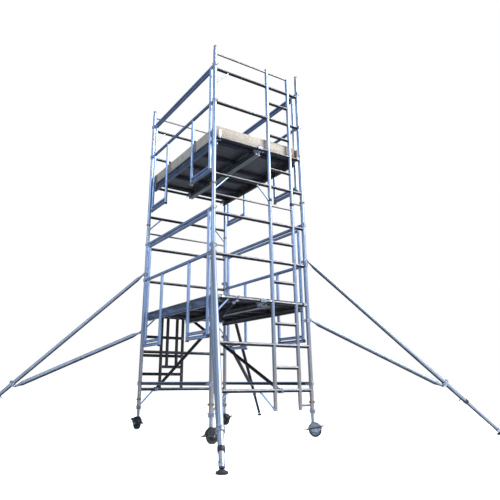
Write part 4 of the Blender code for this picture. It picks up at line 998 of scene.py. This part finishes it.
def hingeLeaves(shape, lift, edge):
    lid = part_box(f"deck_hatch_{lift}")
    middle, leaf, plate = (lid[0].y + lid[1].y) / 2, hinges["leaf"], hinges["plate"]
    for y in (middle - hinges["offset"], middle + hinges["offset"]):
        block(shape, (edge + leaf / 2, y, lid[1].z + plate / 2), (leaf, hinges["width"], plate), "boltSteel",
              None,
              0.0006, 1)
        for offset in hinges["rivets"]:
            rivet(shape, (edge + leaf * 0.55, y + offset, lid[1].z + plate), up, hinges["rivet"])


def hatchLid(lift):
    low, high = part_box(f"deck_hatch_{lift}")
    middle, size = (low + high) / 2, high - low
    rim, leaf, plate, width, pin = (hinges[key] for key in ("rim", "leaf", "plate", "width", "pin"))
    film = "hatchFilm" if lift == "lower" else "deckFilm"
    shape = Shape()
    block(shape, middle, (size.x - 0.004, size.y - 0.004, size.z), film, None, 0.0008, 1)
    for x in (low.x, high.x):
        inward = math.copysign(rim / 2, middle.x - x)
        block(shape, (x + inward, middle.y, middle.z), (rim, size.y, size.z), "deckMetal", None, 0.0008, 1)
    for y in (low.y, high.y):
        inward = math.copysign(rim / 2, middle.y - y)
        block(shape, (middle.x, y + inward, middle.z), (size.x, rim, size.z), "deckMetal", None, 0.0008, 1)
    for y in (middle.y - hinges["offset"], middle.y + hinges["offset"]):
        turn(shape, (high.x + 0.0055, y - width / 2, high.z + 0.003), along,
             [(0, 0), (0, pin), (width, pin), (width, 0)], "boltSteel", 14)
        block(shape, (high.x - leaf / 2 + 0.003, y, high.z + plate / 2), (leaf + 0.006, width, plate),
              "boltSteel",
              None, 0.0006, 1)
        for offset in hinges["rivets"]:
            rivet(shape, (high.x - leaf * 0.6, y + offset, high.z + plate), up, hinges["rivet"])
    grip = Vector((low.x + hinges["grip"], middle.y, high.z))
    turn(shape, grip, up, [(-0.006, 0), (-0.006, 0.022), (-0.001, 0.024), (0.0012, 0.030), (0.0012, 0.033),
                           (-0.001, 0.034)], "blackPlastic", 28)
    turn(shape, grip + Vector((0, 0, -size.z)), -up, [(-0.001, 0.030), (0.002, 0.030), (0.003, 0.026),
                                                      (0.003, 0)],
         "blackPlastic", 28)
    block(shape, grip + Vector((-0.024, 0, -size.z - 0.004)), (0.046, 0.030, 0.006), "castMetal", None,
          0.0015)
    finishPiece(f"hatchLid_{lift}", shape, f"hatch_{lift}", "deck_board", f"deck_hatch_{lift}")


for liftName in lifts:
    for sideName in ("left", "right"):
        deckFrame(sideName, liftName)
        deckBoard(sideName, liftName)
    hatchLid(liftName)
print("decks built")

# toe boards
toes = {"strapWidth": 0.030, "strapThick": 0.004, "strapRivets": (-0.045, 0.045), "bracket": 0.052,
        "fold": 0.004,
        "straps": {"left": (-0.385, 0.385, 0.90), "right": (-0.385, 0.385, 0.90, -0.90),
                   "front": (0.115, 0.545),
                   "back": (-0.40, 0.40)}}


def toeBoard(name):
    low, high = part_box(f"toe_board_{name}")
    middle, size = (low + high) / 2, high - low
    thick, shape = toes["strapThick"], Shape()
    block(shape, middle, size, "toeTimber", None, 0.0025, 2)
    lengthwise = size.y > size.x
    outward = across * math.copysign(1, middle.x) if lengthwise else along * math.copysign(1, middle.y)
    flat = min(size.x, size.y) / 2
    for place in toes["straps"][name]:
        centre = Vector((middle.x, place, middle.z)) if lengthwise else Vector((place, middle.y, middle.z))
        block(shape, centre + outward * (flat + thick / 2), (thick, toes["strapWidth"], size.z - 0.006),
              "toeStrap",
              basis(up, outward), 0.001)
        for z in toes["strapRivets"]:
            rivet(shape, centre + outward * (flat + thick) + Vector((0, 0, z)), outward)
    finishPiece(f"toeBoard_{name}", shape, "tower", "toe_board", f"toe_board_{name}")


for boardName in toes["straps"]:
    toeBoard(boardName)


def toeBrackets():          # folded clips at the four corners, gripping the posts
    low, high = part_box("toe_board_front")
    size, height, fold, z = toes["bracket"], high.z - low.z, toes["fold"], (low.z + high.z) / 2
    shape = Shape()
    for x in (leftX, rightX):
        for y in (frontY, backY):
            sideX, sideY = math.copysign(1, x), math.copysign(1, y)
            cornerX, cornerY = sideX * high.x, sideY * -low.y
            block(shape, (cornerX - sideX * size / 2, cornerY + sideY * 0.0022, z),
                  (size, fold, height * 0.8),
                  "tanPlastic", None, 0.001)
            block(shape, (cornerX + sideX * 0.0022, cornerY - sideY * size / 2, z),
                  (fold, size, height * 0.8),
                  "tanPlastic", None, 0.001)
            block(shape, (cornerX + sideX * 0.010, cornerY + sideY * 0.016, z - 0.01),
                  (0.022, 0.030, height * 0.72),
                  "tanPlastic", None, 0.003)
    # pale end plate near the left corner
    block(shape, (leftX + 0.105, low.y - 0.004, low.z + 0.060), (0.040, 0.010, 0.085), "paleBracket", None,
          0.002)
    finishPiece("toeBrackets", shape, "tower", "toe_board")


toeBrackets()
print("toe boards built")

# legs and castors
legs = {"radius": 0.0205, "root": 0.0183, "lead": 0.0125, "sides": 18, "perTurn": 6, "plain": 0.012,
        "crest": 1.7, "flange": 0.050, "flangeRoot": 0.0375, "flangeThick": 0.008, "hub": 0.031,
        "height": 0.042,
        "lugs": 4, "ribs": 8, "bore": 0.0008}


def threadedLeg(corner):
    low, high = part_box(f"leg_tube_{corner}")
    x, y = posts[corner].x, posts[corner].y
    sides, perTurn, plain, root = legs["sides"], legs["perTurn"], legs["plain"], legs["root"]
    step = legs["lead"] / perTurn
    shape = Shape()
    rows = []
    for k in range(int((high.z - low.z - 2 * plain) / legs["lead"] * perTurn) + 1):
        z = low.z + plain + k * legs["lead"] / perTurn
        row = []
        for j in range(sides):
            phase = (k / perTurn - j / sides) % 1.0
            crest = 1 - abs(2 * phase - 1)
            radius = root + (legs["radius"] - root) * min(1.0, crest * legs["crest"])
            angle = 2 * math.pi * j / sides
            row.append(shape.bm.verts.new((x + radius * math.cos(angle), y + radius * math.sin(angle), z)))
        rows.append(row)
    skin(shape, rows, "screwMetal", (2 * math.pi * legs["radius"] / sides, step))
    for z, way in ((low.z, 1), (high.z, -1)):
        turn(shape, (x, y, z), (0, 0, way), [(0, 0), (0, root), (plain + 0.002, root)], "screwMetal", sides)
    finishPiece(f"threadedLeg_{corner}", shape, f"leg_{corner}", "aluminium_cast", f"leg_tube_{corner}")


def legNut(corner):         # lobed flange over a ribbed hub
    low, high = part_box(f"leg_nut_{corner}")
    centre = Vector((posts[corner].x, posts[corner].y, 0))
    root, thick, hub = legs["flangeRoot"], legs["flangeThick"], legs["hub"]
    shape = Shape()
    outline = []
    steps = 64
    for k in range(steps):
        angle = 2 * math.pi * k / steps
        swell = 0.5 + 0.5 * math.cos(angle * legs["lugs"])
        radius = root + (legs["flange"] - root - 0.001) * min(1.0, swell ** 1.5 * 1.35)
        outline.append((radius * math.cos(angle + 0.4), radius * math.sin(angle + 0.4)))
    prism(shape, outline, thick, Matrix.Translation(centre + up * (high.z - thick / 2)), "castMetal", 0.0015)
    bore, tall = legs["radius"] + legs["bore"], legs["height"] - thick
    turn(shape, centre + up * low.z, up, [(0.002, bore), (0, bore + 0.001), (0, hub - 0.006),
                                          (0.003, hub - 0.004),
         (tall - 0.004, hub), (tall, hub + 0.004)], "castMetal", 24)
    for k in range(legs["ribs"]):
        angle = 2 * math.pi * k / legs["ribs"] + 0.2
        out = Vector((math.cos(angle), math.sin(angle), 0))
        block(shape, centre + up * (low.z + tall * 0.5) + out * (hub - 0.002), (0.007, 0.005, tall * 0.92),
              "castMetal", basis(up, out), 0.0015)
    finishPiece(f"legNut_{corner}", shape, f"nut_{corner}", "aluminium_cast", f"leg_nut_{corner}")


castors = {"wheel": 0.075, "width": 0.044, "hubWidth": 0.056, "hub": 0.024, "axle": 0.008, "hoodGap": 0.005,
           "hoodWall": 0.0035, "hoodSteps": 26, "hoodSkirt": 0.016, "innerWidth": 0.060, "cheekDrop": 0.020,
           "race": 0.0285, "stem": 0.0150, "grooves": (-0.007, 0.007), "ribs": 5, "ribReach": 0.041,
           "reach": 0.140, "loop": 0.094, "arm": 0.006, "sideGap": 0.003, "depth": 0.014, "rise": 0.023,
           "brakeTilt": 12, "pedalTilt": 0.16, "treads": 4}
castorTones = {name: "castorGrey" if name == "front_right" else "castorBlack" for name in cornerNames}


def axlePlace(pivot, axle, turned=Matrix()):    # frame on an axle: X forward, Y along the axle
    axle = Vector(axle).normalized()
    facing = Matrix((axle.cross(up), axle, up)).transposed().to_4x4()
    return Matrix.Translation(pivot) @ turned @ facing


def castorPlace(corner):
    spin = joints["wheel_spin_" + corner]
    return axlePlace(spin["pos_m"], spin["axis"])


def castorYoke(corner):
    sizes, tone = castors, castorTones[corner]
    place = castorPlace(corner)
    turnWay = place.to_3x3()
    inner, wall, halfWide = sizes["wheel"] + sizes["hoodGap"], sizes["hoodWall"], sizes["innerWidth"] / 2
    edge, skirt = halfWide + wall, inner - sizes["hoodSkirt"]
    shape = Shape()
    # pressed hood: a crown swept over the tread, rolled into both cheeks
    outside = [(halfWide - 0.006, inner + wall), (edge - 0.003, inner + wall - 0.002),
               (edge, inner + wall - 0.008),
               (edge, skirt)]
    inside = [(halfWide, skirt), (halfWide, inner - 0.004), (halfWide - 0.006, inner)]
    section = ([(-w, r) for w, r in reversed(outside)] + outside + inside + [(-w, r) for w,
                                                                             r in reversed(inside)])
    rows = []
    for k in range(sizes["hoodSteps"] + 1):
        angle = math.radians(12 + 156 * k / sizes["hoodSteps"])
        rows.append([shape.bm.verts.new(place @ Vector((r * math.cos(angle), w, r * math.sin(angle))))
                     for w, r in section])
    skin(shape, rows, tone, (0.01, 0.01), section)
    drop = sizes["cheekDrop"]
    cheek = arcPoints(inner + wall - 0.004, 10, 170, 24)
    cheek += [(-0.034, -0.012), (-0.024, -drop), (0.024, -drop), (0.034, -0.012)]
    for side in (-1, 1):
        sideWay = turnWay @ Vector((0, side, 0))
        prism(shape, cheek, wall, place @ Matrix.Translation((0, side * (halfWide + wall / 2),
                                                              0)) @ frontView, tone,
              0.0012)
        bolt(shape, place @ Vector((0, side * edge, 0)), sideWay, 0.0085, 0.008)
        for x in (-0.034, 0.034):
            rivet(shape, place @ Vector((x, side * edge, 0.030)), sideWay, 0.005, tone)
        turn(shape, place @ Vector((0, side * halfWide, sizes["rise"])), sideWay,
             [(0, 0.005), (0.017, 0.005), (0.0175, 0.004), (0.0175, 0)], "boltSteel", 12)
    turn(shape, place @ Vector((0, -halfWide, 0)), turnWay @ Vector((0, 1, 0)),
         [(0, sizes["axle"]), (2 * halfWide, sizes["axle"])], "boltSteel", 16)
    # swivel race and the stem that goes up into the leg
    centre = Vector((posts[corner].x, posts[corner].y, 0))
    crown, legFoot = place.translation.z + inner + wall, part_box(f"leg_tube_{corner}")[0].z
    race, stem, rise = sizes["race"], sizes["stem"], legFoot - crown
    turn(shape, centre + up * (crown - 0.006), up, [(0, 0), (0, race), (0.004, race), (0.0045, race - 0.003),
         (0.0055, race - 0.003), (0.006, race - 0.001), (rise + 0.005, race - 0.002),
                                                    (rise + 0.006, race - 0.006),
         (rise + 0.006, 0)], tone, 32)
    turn(shape, centre + up * legFoot, up, [(-0.002, stem), (0.068, stem), (0.070, stem - 0.002), (0.070, 0)],
         "boltSteel", 20)
    finishPiece(f"castorYoke_{corner}", shape, f"castor_{corner}", "castor_metal", f"castor_yoke_{corner}")


def castorWheel(corner):
    sizes, tone = castors, castorTones[corner]
    place = castorPlace(corner)
    turnWay, centre = place.to_3x3(), place.translation
    way = turnWay @ Vector((0, 1, 0))
    half, hubEnd, radius = sizes["width"] / 2, sizes["hubWidth"] / 2, sizes["wheel"]
    hub, bore = sizes["hub"], sizes["axle"] + 0.001
    shape = Shape()
    # tread with two grooves, then the dished centre
    tread = [(-half + 0.006, radius - 0.016), (-half, radius - 0.012), (-half, radius - 0.007),
             (-half + 0.003, radius - 0.002), (-half + 0.007, radius)]
    for groove in sizes["grooves"]:
        tread += [(groove - 0.0016, radius), (groove - 0.001, radius - 0.0022),
                  (groove + 0.001, radius - 0.0022),
                  (groove + 0.0016, radius)]
    tread += [(half - 0.007, radius), (half - 0.003, radius - 0.002), (half, radius - 0.007),
              (half, radius - 0.012),
              (half - 0.006, radius - 0.016)]
    turn(shape, centre, way, tread, "tyreRubber", 40)
    for side in (-1, 1):
        disc = [(half - 0.006, radius - 0.016), (half - 0.007, radius - 0.020),
                (half - 0.014, radius - 0.026),
                (half - 0.014, hub + 0.006), (hubEnd - 0.003, hub), (hubEnd, hub - 0.003), (hubEnd, bore),
                (hubEnd - 0.02, bore)]
        turn(shape, centre, way, [(side * w, r) for w, r in disc], tone, 40)
        for k in range(sizes["ribs"]):
            angle = 2 * math.pi * k / sizes["ribs"]
            out = turnWay @ Vector((math.cos(angle), 0, math.sin(angle)))
            block(shape, centre + way * side * (half - 0.0135) + out * sizes["ribReach"],
                  (0.024, 0.006, 0.006),
                  tone, basis(way, out), 0.0015)
    turn(shape, centre, way, [(-half + 0.006, radius - 0.016), (half - 0.006, radius - 0.016)], "tyreRubber",
         40)
    finishPiece(f"castorWheel_{corner}", shape, f"wheel_{corner}", "wheel", f"castor_wheel_{corner}")


def castorBrake(corner):    # rocking frame round the wheel, a pedal at each end
    sizes, tone = castors, "castorBlack"
    rock = joints["brake_rock_" + corner]
    axle = Vector(rock["axis"]).normalized()
    place = axlePlace(rock["pos_m"], axle, Matrix.Rotation(math.radians(sizes["brakeTilt"]), 4, axle))
    turnWay = place.to_3x3()
    inner = sizes["innerWidth"] / 2 + 0.005 + sizes["sideGap"]
    arm, depth, loop, reach = sizes["arm"], sizes["depth"], sizes["loop"], sizes["reach"]
    bar = [(-loop - 0.004, -depth * 0.32), (-0.020, -depth / 2), (0.020, -depth / 2),
           (loop + 0.004, -depth * 0.32),
           (loop + 0.004, depth * 0.36), (0.020, depth / 2), (-0.020, depth / 2),
           (-loop - 0.004, depth * 0.36)]
    pedal = [(loop, -0.024), (loop + 0.020, -0.030), (reach - 0.008, -0.026), (reach, -0.018), (reach, 0.018),
             (reach - 0.008, 0.026), (loop + 0.020, 0.030), (loop, 0.024)]
    shape = Shape()
    for side in (-1, 1):
        prism(shape, bar, arm * 0.8, place @ Matrix.Translation((0, side * (inner + arm / 2), 0)) @ frontView,
              tone,
              0.0012)
        block(shape, place @ Vector((side * (loop + 0.003), 0, 0)),
              (arm * 0.9, 2 * inner + arm, depth * 0.62), tone,
              turnWay.to_4x4(), 0.002)
        turn(shape, place @ Vector((0, side * (inner + arm), 0)), turnWay @ Vector((0, side, 0)),
             [(-0.002, 0.010), (0.0006, 0.010), (0.0012, 0.0085), (0.0012, 0.0055)], tone, 18)
        lift = Matrix.Rotation(side * -sizes["pedalTilt"], 4, "Y")
        lifted = place @ Matrix.Translation((side * loop, 0,
                                             0)) @ lift @ Matrix.Translation((-side * loop, 0, 0))
        prism(shape, [(side * u, v) for u, v in pedal], 0.0045, lifted, castorTones[corner], 0.0015)
        for k in range(sizes["treads"]):
            block(shape, lifted @ Vector((side * (loop + 0.016 + k * 0.008), 0, 0.0035)),
                  (0.0028, 0.040, 0.003),
                  tone, lifted.to_3x3().to_4x4(), 0.0008, 1)
    finishPiece(f"castorBrake_{corner}", shape, f"brake_{corner}", "castor_metal", f"castor_brake_{corner}")


for corner in cornerNames:
    threadedLeg(corner)
    legNut(corner)
    castorYoke(corner)
    castorWheel(corner)
    castorBrake(corner)
print("legs and castors built")

# stabilisers
stays = {"tube": 0.0265, "wall": 0.0022, "length": 2.55, "legRadius": 0.0225, "overlap": 0.750, "arm": 0.0290,
         "armLength": 1.80, "lug": 0.022, "neck": 0.013, "taper": 0.120, "standoff": 0.0025,
         "lowerRises": {"front_right": 0.318}, "lowerRise": 0.262, "lowerRung": 1, "collar": 0.045,
         "foot": 0.045,
         "footThick": 0.030, "footSink": 0.002, "flats": 8, "holes": 5, "holeStart": 0.10, "holePitch": 0.11,
         "lockRise": 0.085}
clamps = {"height": 0.050, "wall": 0.0095, "gap": 0.0012, "span": 118, "lugSpan": 112, "bolt": 0.040,
          "steps": 28}


def postClamp(shape, centre, outward):      # two-jaw clamp with a wing bolt
    inner, wall, height = tower["post"] + clamps["gap"], clamps["wall"], clamps["height"]
    edge, lugSpan = inner + wall, math.radians(clamps["lugSpan"])
    ringArc(shape, centre, up, outward, inner, wall, height, clamps["span"], "castMetal", clamps["steps"],
            0.003)
    cross, back = up.cross(outward), -outward
    for side in (-1, 1):
        lug = centre + (outward * math.cos(lugSpan) + cross * side * math.sin(lugSpan)) * edge
        block(shape, lug, (0.016, 0.015, height * 0.8), "castMetal", basis(up, outward), 0.003)
    swing, reach = centre + cross * (edge + 0.006) + back * 0.006, clamps["bolt"]
    turn(shape, swing, back, [(0, 0.005), (reach - 0.002, 0.005), (reach, 0.003), (reach, 0)], "boltSteel",
         12)
    turn(shape, swing + back * 0.016, back, [(0, 0), (0, 0.010), (0.012, 0.009), (0.014, 0.006), (0.014, 0)],
         "boltSteel", 14)
    for side in (-1, 1):
        block(shape, swing + back * 0.023 + up * side * 0.016, (0.010, 0.005, 0.020), "boltSteel",
              basis(up, back),
              0.002)
    block(shape, centre + outward * (edge + 0.002), (0.016, 0.030, height * 0.74), "castMetal",
          basis(up, outward),
          0.003)
    turn(shape, centre + outward * (edge + 0.004) - cross * 0.024, cross,
         [(0, 0), (0, 0.0075), (0.003, 0.0075), (0.003, 0.0045), (0.045, 0.0045), (0.045, 0.0075),
          (0.048, 0.0075),
          (0.048, 0)], "boltSteel", 12)


def stayFinish(corner):
    return "shadedTube" if corner == "back_right" else "stayTube"


def taperedEnd(shape, start, way, radius, finish):      # swaged down to a round neck at its clamp
    neck, taper = stays["neck"], stays["taper"]
    turn(shape, start, way, [(0, 0), (0, neck - 0.001), (0.002, neck), (0.030, neck + 0.0005),
                             (0.055, neck + 0.0035),
                             (taper - 0.020, radius - 0.001), (taper, radius)], finish, 24)


def stabiliserTube(corner, finish, top, start, way, outward, lockSide):
    radius, end = stays["tube"], start + way * stays["length"]
    shape = Shape()
    postClamp(shape, top, outward)
    taperedEnd(shape, start, way, radius, finish)
    tube(shape, start + way * stays["taper"], end, radius, finish, openEnd=True, wall=stays["wall"], sides=28)
    turn(shape, end - way * 0.040, way, [(0, radius), (0.002, radius + 0.003), (0.038, radius + 0.003),
         (0.041, radius + 0.001), (0.041, stays["legRadius"] + 0.001)], "blackPlastic", 28)
    turn(shape, end - way * stays["lockRise"] + lockSide * radius * 0.9, lockSide,
         [(0, 0.010), (0.006, 0.010), (0.008, 0.006), (0.020, 0.006), (0.020, 0.011), (0.030, 0.011),
          (0.032, 0.008),
          (0.032, 0)], "castMetal", 18)
    finishPiece(f"stabiliserTube_{corner}", shape, f"stabiliser_{corner}", "aluminium_tube",
                f"stabiliser_tube_{corner}")


def stabiliserArm(corner, finish, start, way, outward, edge):
    low = posts[corner] + up * (rungZ(stays["lowerRung"]) + stays["lowerRises"].get(corner,
                                                                                    stays["lowerRise"]))
    armStart = low + outward * edge
    drop = start - armStart
    half = way.dot(drop)
    join = start + way * (-half + math.sqrt(half ** 2 - drop.length_squared + stays["armLength"] ** 2))
    toward = ((armStart - join) - way * (armStart - join).dot(way)).normalized()
    armEnd = join + toward * (stays["tube"] + stays["lug"])
    armWay = (armEnd - armStart).normalized()
    shape = Shape()
    postClamp(shape, low, outward)
    for place, heading in ((armStart, armWay), (armEnd, -armWay)):
        taperedEnd(shape, place, heading, stays["arm"], finish)
    taper = armWay * stays["taper"]
    tube(shape, armStart + taper, armEnd - taper, stays["arm"], finish, sides=26)
    collar, lug = stays["collar"], stays["lug"]
    bore, ring = stays["tube"] + 0.0006, stays["tube"] + clamps["wall"]
    turn(shape, join - way * collar / 2, way, [(0, bore), (0, ring - 0.002), (0.002, ring),
                                               (collar - 0.002, ring),
         (collar, ring - 0.002), (collar, bore)], "castMetal", 28)
    turn(shape, join + toward * (stays["tube"] + 0.004), toward,
         [(0, 0), (0, 0.014), (lug, 0.0135), (lug + 0.006, 0)], "castMetal", 16)
    crossWay = way.cross(toward)
    turn(shape, armEnd - crossWay * 0.022, crossWay,
         [(0, 0), (0, 0.008), (0.004, 0.008), (0.004, 0.005), (0.040, 0.005), (0.040, 0.008), (0.044, 0.008),
          (0.044, 0)], "boltSteel", 12)
    block(shape, join - toward * (ring + 0.004), (0.014, 0.020, 0.030), "castMetal", basis(way, toward),
          0.003)
    bolt(shape, join - toward * (ring + 0.010), -toward, 0.007, 0.007)
    finishPiece(f"stabiliserArm_{corner}", shape, f"stabiliser_{corner}", "aluminium_tube",
                f"stabiliser_arm_{corner}")


def stabiliserLeg(corner, finish, start, way, lockSide):
    end, legRadius, radius = start + way * stays["length"], stays["legRadius"], stays["foot"]
    footTop = stays["footThick"]
    foot = start + way * ((footTop - stays["footSink"] - start.z) / way.z)
    shape = Shape()
    tube(shape, end - way * stays["overlap"], foot - way * 0.012, legRadius, finish, openStart=True, sides=26)
    for k in range(stays["holes"]):         # spring-pin holes
        spot = end + way * (stays["holeStart"] + stays["holePitch"] * k)
        if (foot - spot).dot(way) > 0.12:
            turn(shape, spot + lockSide * (legRadius - 0.0006), lockSide,
                 [(0, 0.0062), (0.0008, 0.0058), (0.0009, 0.0045), (-0.004, 0.0040), (-0.004, 0)],
                 "blackPlastic", 14)
    base = Vector((foot.x, foot.y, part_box(f"stabiliser_leg_{corner}")[0].z))
    turn(shape, base, up, [(0, 0), (0, radius - 0.004), (0.003, radius), (0.008, radius),
                           (0.0095, radius - 0.002),
         (0.011, radius), (0.016, radius - 0.001), (0.019, radius - 0.010), (0.024, 0.026),
                           (footTop - 0.002, 0.022),
         (footTop, 0.018), (footTop, 0)], "tyreRubber", 32)
    turn(shape, foot - way * 0.060, way, [(0, legRadius), (0.001, legRadius + 0.003),
                                          (0.034, legRadius + 0.003),
         (0.046, 0.014), (0.052, 0.010)], "castMetal", 24)
    finishPiece(f"stabiliserLeg_{corner}", shape, f"stabiliser_foot_{corner}", "aluminium_tube",
                f"stabiliser_leg_{corner}")


def stabiliser(corner):
    way = Vector(joints["stabiliser_extend_" + corner]["axis"]).normalized()
    outward = Vector((way.x, way.y, 0)).normalized()
    lockSide = way.cross(outward.cross(up)).normalized()
    edge = tower["post"] / math.cos(math.pi / stays["flats"]) + clamps["wall"] + stays["standoff"]
    top = posts[corner] + up * joints["stabiliser_swing_" + corner]["pos_m"][2]
    start, finish = top + outward * edge, stayFinish(corner)
    stabiliserTube(corner, finish, top, start, way, outward, lockSide)
    stabiliserArm(corner, finish, start, way, outward, edge)
    stabiliserLeg(corner, finish, start, way, lockSide)


for corner in cornerNames:
    stabiliser(corner)
print("stabilisers built")

# floor, light and camera
studio = {"floorSize": 160.0, "floorColor": (0.96, 0.96, 0.96), "floorLift": 0.70,
          "skyTop": (0.62, 0.78, 1.0),
          "skyLow": (0.80, 0.86, 0.95), "skyStrength": 0.82, "darkSide": (-0.90, 0.42, 0.10),
          "sideColor": (0.10, 0.14, 0.22), "aim": (0, 0, 2.4)}
lamps = {"key": {"place": (5.0, -7.0, 9.0), "size": 6.0, "power": 1700.0, "color": (1.0, 0.98, 0.95)},
         "fill": {"place": (-8.0, -1.0, 6.0), "size": 5.0, "power": 200.0, "color": (0.80, 0.90, 1.0)}}


def makeFloor():
    mesh = bpy.data.meshes.new("studioFloor")
    size = studio["floorSize"] / 2
    mesh.from_pydata([(-size, -size, 0), (size, -size, 0), (size, size, 0), (-size, size, 0)], [],
                     [(0, 1, 2, 3)])
    floor = bpy.data.objects.new("studioFloor", mesh)
    floor.location.z = -0.001
    bpy.context.scene.collection.objects.link(floor)
    material = bpy.data.materials.new("paleFloor")
    material.use_nodes = True
    shader = material.node_tree.nodes["Principled BSDF"]
    shader.inputs["Base Color"].default_value = (*studio["floorColor"], 1)
    shader.inputs["Roughness"].default_value = 0.9
    seen = put(material.node_tree, "ShaderNodeLightPath").outputs["Is Camera Ray"]   # white to the eye
    lift = maths(material.node_tree, "MULTIPLY", seen, studio["floorLift"])
    shader.inputs["Emission Color"].default_value = (1, 1, 1, 1)
    material.node_tree.links.new(lift, shader.inputs["Emission Strength"])
    mesh.materials.append(material)


def makeWorld():
    world = bpy.data.worlds.new("studioLight")
    bpy.context.scene.world = world
    world.use_nodes = True
    tree = world.node_tree
    background = tree.nodes["Background"]
    direction = put(tree, "ShaderNodeTexCoord").outputs["Generated"]
    height = put(tree, "ShaderNodeSeparateXYZ", None, Vector=direction).outputs["Z"]
    sky = mixed(tree, span(tree, height, 0.0, 0.8), (*studio["skyLow"], 1), (*studio["skyTop"], 1))
    side = put(tree, "ShaderNodeVectorMath", {"operation": "DOT_PRODUCT"}, i0=direction,
               i1=studio["darkSide"])
    sky = mixed(tree, span(tree, side.outputs["Value"], 0.15, 0.85), sky, (*studio["sideColor"], 1))
    tree.links.new(sky, background.inputs["Color"])
    background.inputs["Strength"].default_value = studio["skyStrength"]
    plain = put(tree, "ShaderNodeBackground", None, Color=(1, 1, 1, 1), Strength=1.0)
    isCamera = put(tree, "ShaderNodeLightPath").outputs["Is Camera Ray"]
    both = put(tree, "ShaderNodeMixShader", None, i0=isCamera, i1=background.outputs[0], i2=plain.outputs[0])
    tree.links.new(both.outputs[0], tree.nodes["World Output"].inputs["Surface"])


def areaLight(name, look):
    data = bpy.data.lights.new(name, "AREA")
    data.energy = look["power"]
    data.size = look["size"]
    data.color = look["color"]
    lamp = bpy.data.objects.new(name, data)
    bpy.context.scene.collection.objects.link(lamp)
    lamp.location = look["place"]
    lamp.rotation_euler = (Vector(studio["aim"]) - Vector(look["place"])).to_track_quat("-Z", "Y").to_euler()


view = {"place": (-3.411, -5.790, 0.597), "look": (0.49655, 0.80437, 0.32624), "lens": 35.42, "shiftX": 0.040,
        "shiftY": -0.075}


def makeCamera():
    data = bpy.data.cameras.new("camera")
    data.sensor_width = 36.0
    data.lens = view["lens"]
    data.shift_x = view["shiftX"]
    data.shift_y = view["shiftY"]
    data.clip_end = 400.0
    camera = bpy.data.objects.new("camera", data)
    bpy.context.scene.collection.objects.link(camera)
    camera.location = view["place"]
    camera.rotation_euler = Vector(view["look"]).to_track_quat("-Z", "Y").to_euler()
    bpy.context.scene.camera = camera


makeFloor()
makeWorld()
for lampName, look in lamps.items():
    areaLight(lampName, look)
makeCamera()
bpy.context.scene.view_settings.view_transform = "Standard"
print("floor, light and camera ready")
